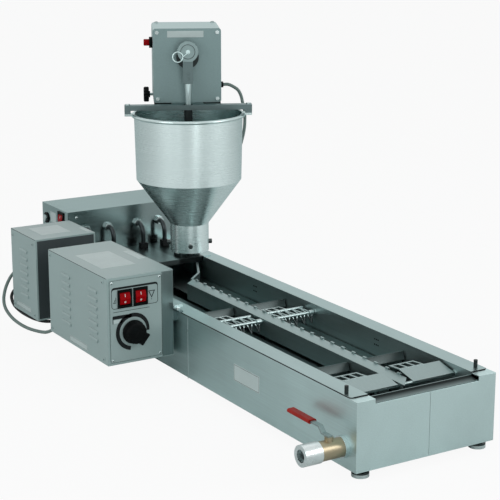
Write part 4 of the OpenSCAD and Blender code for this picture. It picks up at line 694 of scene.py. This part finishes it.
def frame_print(bm, z0, z1):
    """Frame with a thick top bar round the switches, and a fine line round the whole panel."""
    for (x0, y0, x1, y1), r, inner_r, line, head in (
            (FRAME_BOX, FRAME_R, FRAME_R - 1, FRAME_LINE, FRAME_HEAD),
            (SHEET_BOX, SHEET_R, SHEET_R - SHEET_LINE, SHEET_LINE, SHEET_LINE)):
        outer = rounded_outline(x0, y0, x1, y1, r)
        inner = rounded_outline(x0 + line, y0 + line, x1 - line, y1 - head, inner_r)
        ring_band(bm, scaled(outer), scaled(inner), z0, z1)


def dial_print(bm, z0, z1):
    def outer(s):
        taper = max(0.0, s - BAND_TAPER_FROM) / (1 - BAND_TAPER_FROM)
        return (BAND_OUT - BAND_TAPER * taper) * MM

    arc_band(bm, KNOB_X * MM, KNOB_Z * MM, BAND_IN * MM, outer, BAND_START, BAND_END, z0, z1)
    top_bar = rounded_outline(-121.2, 124.6, -86, 130.4, 1.5)
    left_bar = rounded_outline(-121.2, 117.0, -119.9, 126.5, 0.5)
    filled(top_bar, left_bar)(bm, z0, z1)


def hopper_symbol(bm, z0, z1):
    outer = [(-55.2, 165.0), (-42.2, 165.0), (-48.7, 152.0)]
    inner = [(-53.0, 163.8), (-44.4, 163.8), (-48.7, 155.0)]
    drop = [(-49.1, 149.0), (-48.3, 149.0), (-48.3, 151.2), (-49.1, 151.2)]
    ring_band(bm, scaled(outer), scaled(inner), z0, z1)
    filled(drop)(bm, z0, z1)


heat_symbol = (
    [(-119.4, 152.0), (-114.4, 152.0), (-114.4, 152.9), (-119.4, 152.9)],
    [(-115.0, 152.9), (-114.2, 152.9), (-114.2, 161.5), (-115.0, 161.5)],
    [(-118.4, 152.9), (-117.6, 152.9), (-115.4, 158.0), (-116.2, 158.4)],
)
printed("panel_frame_print", frame_print)
printed("dial_band_print", dial_print)
printed("panel_rule_print", filled(rounded_outline(-120, 136.4, -53, 137.2, 0.3)))
printed("hopper_symbol_print", hopper_symbol)
printed("heat_symbol_print", filled(*heat_symbol))
printed("dial_bare_label", filled(rounded_outline(-119.4, 117.6, -103, 123.6, 1)), m_label)


# On and off marks on the rockers
ROCKER_R, ROCKER_FALL, ROCKER_RIDGE = 11.0, 3.0, 8.0
MARK_T, MARK_LIFT = 0.1, 0.02


def on_mark(bm):
    prism(bm, scaled(rounded_outline(-0.5, -2.4, 0.5, 2.4, 0.3)), 0, MARK_T * MM)


def off_mark(bm):
    ring_band(bm, scaled(oval(1.6, 1.8, 28)), scaled(oval(0.7, 0.9, 28)), 0, MARK_T * MM)


def rocker_marks(name, matrix, body):
    slope = math.atan2(ROCKER_FALL, ROCKER_R)
    height = ROCKER_RIDGE - ROCKER_FALL / 2 + MARK_LIFT
    for label, sign, build in (("on", 1, on_mark), ("off", -1, off_mark)):
        bm = bmesh.new()
        build(bm)
        local = Matrix.Rotation(-sign * slope, 4, "X")
        local.translation = Vector((0, sign * ROCKER_R / 2 * MM, height * MM))
        finish_piece(f"{name}_{label}_mark", bm, m_white, body, matrix @ local, smooth=False)


rocker_marks("heat_rocker", basis(at(-98.5, 522, 158), X, Z), "heat_switch")
rocker_marks("drive_rocker", basis(at(-69.5, 522, 158), X, Z), "drive_switch")
rocker_marks("rear_rocker", basis(at(4, 984, 186), -Y, Z), "rear_switch")


# Bare plates on the casing, the units and the motor box, some with a border line
PLATE_EDGE, PLATE_SHOULDER, PLATE_LEAST_R = 0.4, 0.6, 0.2


def plate(name, matrix, w, h, t=0.3, r=1.5, mat=m_label, body="fryer"):
    """Thin sheet with a bevelled edge."""
    outer = scaled(sheet_outline(w, h, 0.0, r))
    inner = scaled(sheet_outline(w, h, PLATE_EDGE, max(r - PLATE_EDGE, PLATE_LEAST_R)))
    bm = bmesh.new()
    low = level_ring(bm, outer, 0)
    mid = level_ring(bm, outer, PLATE_SHOULDER * t * MM)
    top = level_ring(bm, inner, t * MM)
    stitch(bm, low, mid)
    stitch(bm, mid, top)
    bm.faces.new(list(reversed(low)))
    bm.faces.new(top)
    finish_piece(name, bm, mat, body, matrix, smooth=False)


def border(name, matrix, w, h, line=0.35, gap=0.8, lift=0.36):
    outer_r, inner_r, base = 1.2, 0.8, 0.4
    outer = scaled(sheet_outline(w, h, gap, outer_r))
    inner = scaled(sheet_outline(w, h, gap + line, inner_r))
    bm = bmesh.new()
    ring_band(bm, outer, inner, base * MM, lift * MM)
    finish_piece(name, bm, m_ink, "fryer", matrix, smooth=False)


casing_side = basis(at(0, 295.5, 68), -Y, Z)
control_side = basis(at(CONTROL_SIDE, 634, 55.5), -Y, Z)
power_side = basis(at(POWER_SIDE, 880, 58), -Y, Z)
plate("casing_bare_plate", casing_side, 77, 28, 0.5)
border("casing_plate_border", casing_side, 77, 28, line=0.5, gap=1.2, lift=0.55)
plate("control_top_plate", basis(at(-77, 633, CONTROL_TOP), X, Y), 64, 104)
plate("control_top_small_plate", basis(at(-19, 639, CONTROL_TOP), X, Y), 13, 62)
plate("power_top_plate", basis(at(-72, 876, POWER_TOP), X, Y), 58, 62)
plate("power_top_small_plate", basis(at(-14, 846, POWER_TOP), X, Y), 9, 37)
plate("control_side_plate", control_side, 70, 11)
border("control_side_border", control_side, 70, 11)
plate("power_side_plate", power_side, 67, 10)
border("power_side_border", power_side, 67, 10)
# Bare steel sheet on the control case's front flange right of the panel, its dark tone partly painted
# shade
plate("control_flange_sheet", basis(at(-18.8, PANEL_Y + 1, 120.5), X, Z), 21, 147, 0.2, 0.6,
      mat=m_flange)
plate("motor_bare_plate", basis(head_at(-3, 23.5, 555), HEAD_U, Z), 65, 11.5, 0.4, 0.8, body="dosing_head")
plate("terminal_side_plate", basis(at(0, 1021, 184), -Y, Z), 26, 20)


# Screws
def pan_head(name, places, d, h, body, mat=m_bright):
    """Domed heads with a cross recess drawn in black as painted shade, one mesh each for a set of places.
    """
    r = d / 2
    dome = ((1, 0), (1, 0.35), (0.92, 0.62), (0.72, 0.86), (0.4, 0.98), (0, 1))
    arm_l, arm_w, arm_low, arm_high = 0.62 * r, 0.13 * r, 0.7 * h, 1.01 * h

    def head(bm):
        revolve(bm, scaled([(a * r, z * h) for a, z in dome]), 28)

    def cross(bm):
        for a, b in ((arm_l, arm_w), (arm_w, arm_l)):
            prism(bm, scaled([(-a, -b), (a, -b), (a, b), (-a, b)]), arm_low * MM, arm_high * MM)

    heads = bmesh.new()
    stamp(heads, places, head)
    finish_piece(name, heads, mat, body)
    # Painted shade: each cross recess is a black cross set into the dome
    recesses = bmesh.new()
    stamp(recesses, places, cross)
    finish_piece(name + "_recess", recesses, m_ink, body, smooth=False)


panel_screws = [basis(at(x, PANEL_Y, z), X, Z) for z in (186.5, 54.5) for x in (-122, -34.5)]
side_screws = [basis(at(side, y, z), -Y, Z)
               for side, ys in ((CONTROL_SIDE, (534, 742)), (POWER_SIDE, (829, 921)))
               for z in (186, 54) for y in ys]
motor_screws = [basis(head_at(u, 134, 565), HEAD_U, HEAD_V) for u in (-52, 52)]
box_screws = [basis(at(x, y, z), right, Z) for y, right in ((BOX_FRONT, X), (BOX_REAR, -X))
              for x in (18, 232) for z in (132, 194)]
rear_screws = [basis(head_at(u, 147, z), -HEAD_U, Z) for u in (-53, 53) for z in (440, 557)]
pan_head("panel_screws", panel_screws, 4.6, 1.6, "fryer")
pan_head("unit_side_screws", side_screws, 5.0, 1.7, "fryer", m_paint)
pan_head("motor_top_screws", motor_screws, 7.5, 2.4, "dosing_head", m_dull)
pan_head("terminal_box_screws", box_screws, 6, 2, "fryer")
pan_head("cover_screws_rear", rear_screws, 6, 2, "dosing_head")


# Level marks pressed into the right wall of the tub
def level_marks():
    wall_x, pitch, half_w, half_h, corner_r, mark_t = 218.4, 4.6, 1.6, 1.1, 0.7, 0.15
    bm = bmesh.new()
    for first_y in (258, 630):
        for z in (98, 107):
            for k in range(3):
                y = first_y - pitch * k
                mark = rounded_outline(-y - half_w, z - half_h, -y + half_w, z + half_h, corner_r)
                prism(bm, scaled(mark), 0, mark_t * MM)
    place = axes(-Y, Z, -X, at(wall_x, 0, 0))
    finish_piece("tub_level_marks", bm, m_ink, "fryer", place, smooth=False)


level_marks()


# Dark bead along the outer edge of the rim, from the discharge lip to the terminal box: a painted shadow
# of the gap under the rim's edge
def rim_shadow_line():
    edge_x, front_y, lip_x, corner_r, bead, bead_low = 1.6, 18.0, 31.0, 7.0, 0.9, 0.02
    turn = [math.radians(90 - 9 * k) for k in range(11)]
    cx, cy = edge_x + corner_r, front_y + corner_r
    lines = []
    for grow in (0.0, bead):
        r = corner_r + grow
        corner = [(cx - r * math.cos(a), cy - r * math.sin(a)) for a in turn]
        lines.append([(lip_x, front_y - grow)] + corner + [(edge_x - grow, BOX_FRONT)])
    outline = lines[1] + lines[0][::-1]
    bm = bmesh.new()
    for side in (outline, [(BATH_W - x, y) for x, y in outline]):
        prism(bm, scaled(side), (DECK_Z + bead_low) * MM, (DECK_Z + bead) * MM)
    finish_piece("rim_shadow_line", bm, m_rubber, "fryer", BATH, smooth=False)


rim_shadow_line()


# Thin straight pieces, each box given by its ranges in x, y and z
def slabs(name, boxes, mat, body="fryer", place=BATH):
    bm = bmesh.new()
    for (x0, x1), (y0, y1), (z0, z1) in boxes:
        prism(bm, scaled([(x0, y0), (x1, y0), (x1, y1), (x0, y1)]), z0 * MM, z1 * MM)
    finish_piece(name, bm, mat, body, place, smooth=False)


# Rubber pads under the motor box on both sides of its arm
pads = [(u, (26.5, 146), (427.5, 432)) for u in ((-60, -29), (29, 60))]
slabs("motor_pads", pads, m_rubber, "dosing_head", HEAD)
# Seams along the tops of the unit covers
seams = [((side - 0.12, side + 0.2), y, (top - 0.9, top - 0.1)) for side, y, top in
         ((CONTROL_SIDE, (520, 750), CONTROL_TOP), (POWER_SIDE, (817, 928), POWER_TOP))]
slabs("unit_seams", seams, m_ink)
# Bright line at the seam of the casing's left side
slabs("casing_seam_line", [((-0.3, 0.1), (483.4, 484.8), (12, 117))], m_cap)
# Dark strip beside the divider's right edge, between its tabs: a painted shadow under the rail
slabs("rail_shadow_strip", [((136.3, 137.6), (82, 688), (111.2, 112.4))], m_dark)


def eye_shadow_ring():
    """Dark line round the flat in the middle of the rod's eye, a painted shadow at the flat's edge."""
    outer_r, inner_r, sunk, proud = 13.1, 12.1, 0.2, 0.15
    bm = bmesh.new()
    outer, inner = (scaled(oval(r, r, 64)) for r in (outer_r, inner_r))
    ring_band(bm, outer, inner, -sunk * MM, proud * MM)
    place = basis(head_at(0, -5, 526.5), HEAD_U, Z)
    finish_piece("eye_shadow_ring", bm, m_dark, "dosing_rod", place, smooth=False)


eye_shadow_ring()

# Knobs and buttons, as profiles of radius and height
FLUTES = 14


def fluted(depth, low, high):
    """Flutes on the profile's rings from low to high."""
    def wave(a, k):
        return 1.0 - depth * (0.5 + 0.5 * math.cos(FLUTES * a)) if low <= k <= high else 1.0
    return wave


def turned_piece(name, profile, mat, body, place, sides=24, wave=None):
    bm = bmesh.new()
    revolve(bm, scaled(profile), sides, wave)
    return finish_piece(name, bm, mat, body, place)


def speed_knob():
    place = basis(at(KNOB_X, PANEL_Y - 0.8, KNOB_Z), X, Z)
    profile = [(0, 0), (19.2, 0), (20.2, 0.6), (20.2, 2.6), (19.8, 3.4), (19.2, 4.2), (18.9, 5.0),
               (18.6, 12.5), (17.6, 14.2), (15.6, 15.0), (9.0, 14.7), (0, 14.6)]
    half = [(0, 7.6), (11, 8.0), (16.5, 9.2), (19.8, 11.2), (21.4, 11.1), (22.2, 10.0)]
    wing = [(x, -y) for x, y in half] + half[::-1]
    wing_low, wing_high, turn = 0.3, 14.9, math.radians(-40)
    c, s = math.cos(turn), math.sin(turn)
    bm = bmesh.new()
    revolve(bm, scaled(profile), 112, fluted(0.025, 5, 8))
    prism(bm, scaled([(x * c - y * s, x * s + y * c) for x, y in wing]), wing_low * MM, wing_high * MM)
    knob = finish_piece("speed_dial_knob", bm, m_black, "knob", place)
    bevel = knob.modifiers.new("bevel", "BEVEL")
    bevel.width = 0.0008
    bevel.segments = 2
    bevel.limit_method = "ANGLE"
    bevel.angle_limit = math.radians(50)
    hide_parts("speed_knob")
    turned_piece("speed_dial_spindle", [(3, -9), (3, 0.5)], m_bright, "knob", place)


def clamp_knob():
    place = basis(head_at(-66, 103, 436.8), -HEAD_V, Z)
    profile = [(0, 0), (5.5, 0), (6.0, 0.6), (6.0, 2.0), (12.6, 2.2), (13.8, 3.2), (14.0, 4.4),
               (14.0, 10.0), (13.2, 11.5), (11.5, 12.0), (6.0, 11.6), (0, 11.6)]
    knob = turned_piece("clamp_star_knob", profile, m_black, "clamp_screw", place,
                        112, fluted(0.09, 4, 9))
    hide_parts("clamp_knob")
    turned_piece("clamp_stud", [(2.5, -66), (2.5, 0.4)], m_dull, "clamp_screw", place)


def push_button():
    place = basis(head_at(-61, 70, 536), -HEAD_V, Z)
    profile = [(0, -2.5), (6, -2.5), (6, 14.6), (5.6, 15.6), (4.6, 16.0), (0, 15.7)]
    button = turned_piece("dosing_push_button", profile, m_red, "dosing_button", place, 48)
    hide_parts("push_button")


speed_knob()
clamp_knob()
push_button()

# Stage: floor, world and lamps
BACKDROP = (0.983, 0.983, 0.983)
FLOOR_COLOR, FLOOR_GLOW = (0.86, 0.87, 0.87), 0.94
FLOOR_HALF, FLOOR_Z = 9, -0.0005
WORLD_COLOR, WORLD_STRENGTH = (0.93, 1.0, 1.0), 0.45


def shader(tree, kind, color):
    node = tree.nodes.new(kind)
    node.inputs["Color"].default_value = (*color, 1)
    return node


def maths(tree, operation, a, b):
    """Two values, each an output or a number, joined by one operation."""
    node = tree.nodes.new("ShaderNodeMath")
    node.operation = operation
    for value, socket in ((a, node.inputs[0]), (b, node.inputs[1])):
        if isinstance(value, float):
            socket.default_value = value
        else:
            tree.links.new(value, socket)
    return node.outputs[0]


def show(tree, output, lit, seen, share):
    """One shader for the light on the object and another where the stage itself is seen."""
    mix = tree.nodes.new("ShaderNodeMixShader")
    out = tree.nodes.new(output)
    tree.links.new(share, mix.inputs[0])
    tree.links.new(lit.outputs[0], mix.inputs[1])
    tree.links.new(seen.outputs[0], mix.inputs[2])
    tree.links.new(mix.outputs[0], out.inputs[0])


corners = [(x * FLOOR_HALF, y * FLOOR_HALF, FLOOR_Z) for x, y in ((-1, -1), (1, -1), (1, 1), (-1, 1))]
floor_mesh = bpy.data.meshes.new("floor")
floor_mesh.from_pydata(corners, [], [(0, 1, 2, 3)])
floor = bpy.data.objects.new("floor", floor_mesh)
scene.collection.objects.link(floor)
floor_mat = bpy.data.materials.new("pale_floor")
floor_mat.use_nodes = True
floor_tree = floor_mat.node_tree
floor_tree.nodes.clear()
floor_rays = floor_tree.nodes.new("ShaderNodeLightPath").outputs
show(floor_tree, "ShaderNodeOutputMaterial",
     shader(floor_tree, "ShaderNodeBsdfDiffuse", FLOOR_COLOR),
     shader(floor_tree, "ShaderNodeEmission", BACKDROP),
     maths(floor_tree, "MULTIPLY", floor_rays["Is Camera Ray"], FLOOR_GLOW))
floor_mesh.materials.append(floor_mat)

world = bpy.data.worlds.new("studio")
scene.world = world
world.use_nodes = True
world_tree = world.node_tree
world_tree.nodes.clear()
rays = world_tree.nodes.new("ShaderNodeLightPath").outputs
mirrored = maths(world_tree, "MAXIMUM", rays["Is Camera Ray"], rays["Is Glossy Ray"])
world_light = shader(world_tree, "ShaderNodeBackground", WORLD_COLOR)
world_light.inputs["Strength"].default_value = WORLD_STRENGTH
show(world_tree, "ShaderNodeOutputWorld", world_light,
     shader(world_tree, "ShaderNodeBackground", BACKDROP),
     maths(world_tree, "MAXIMUM", mirrored, rays["Is Transmission Ray"]))


def lamp(name, place, aim, size, power):
    data = bpy.data.lights.new(name, "AREA")
    data.shape = "RECTANGLE"
    data.size, data.size_y = size
    data.energy = power
    obj = bpy.data.objects.new(name, data)
    scene.collection.objects.link(obj)
    obj.location = place
    obj.rotation_euler = (Vector(aim) - Vector(place)).to_track_quat("-Z", "Y").to_euler()


HOPPER_AIM = (0.076, 0.186, 0.35)
lamp("key_right", (1.9, -2.3, 1.5), (0.1, 0.0, 0.15), (1.4, 1.4), 24)
lamp("top_soft", (0.2, 0.5, 2.4), (0.0, 0.1, 0.1), (2.2, 2.2), 4.5)
lamp("fill_left", (-2.4, -0.6, 1.1), (0.0, 0.1, 0.15), (1.2, 1.2), 12.3)
lamp("strip_right", (-0.48, -2.15, 0.55), HOPPER_AIM, (0.45, 1.5), 3.2)
lamp("strip_left", (-1.7, -1.4, 0.55), HOPPER_AIM, (0.2, 1.5), 0.8)
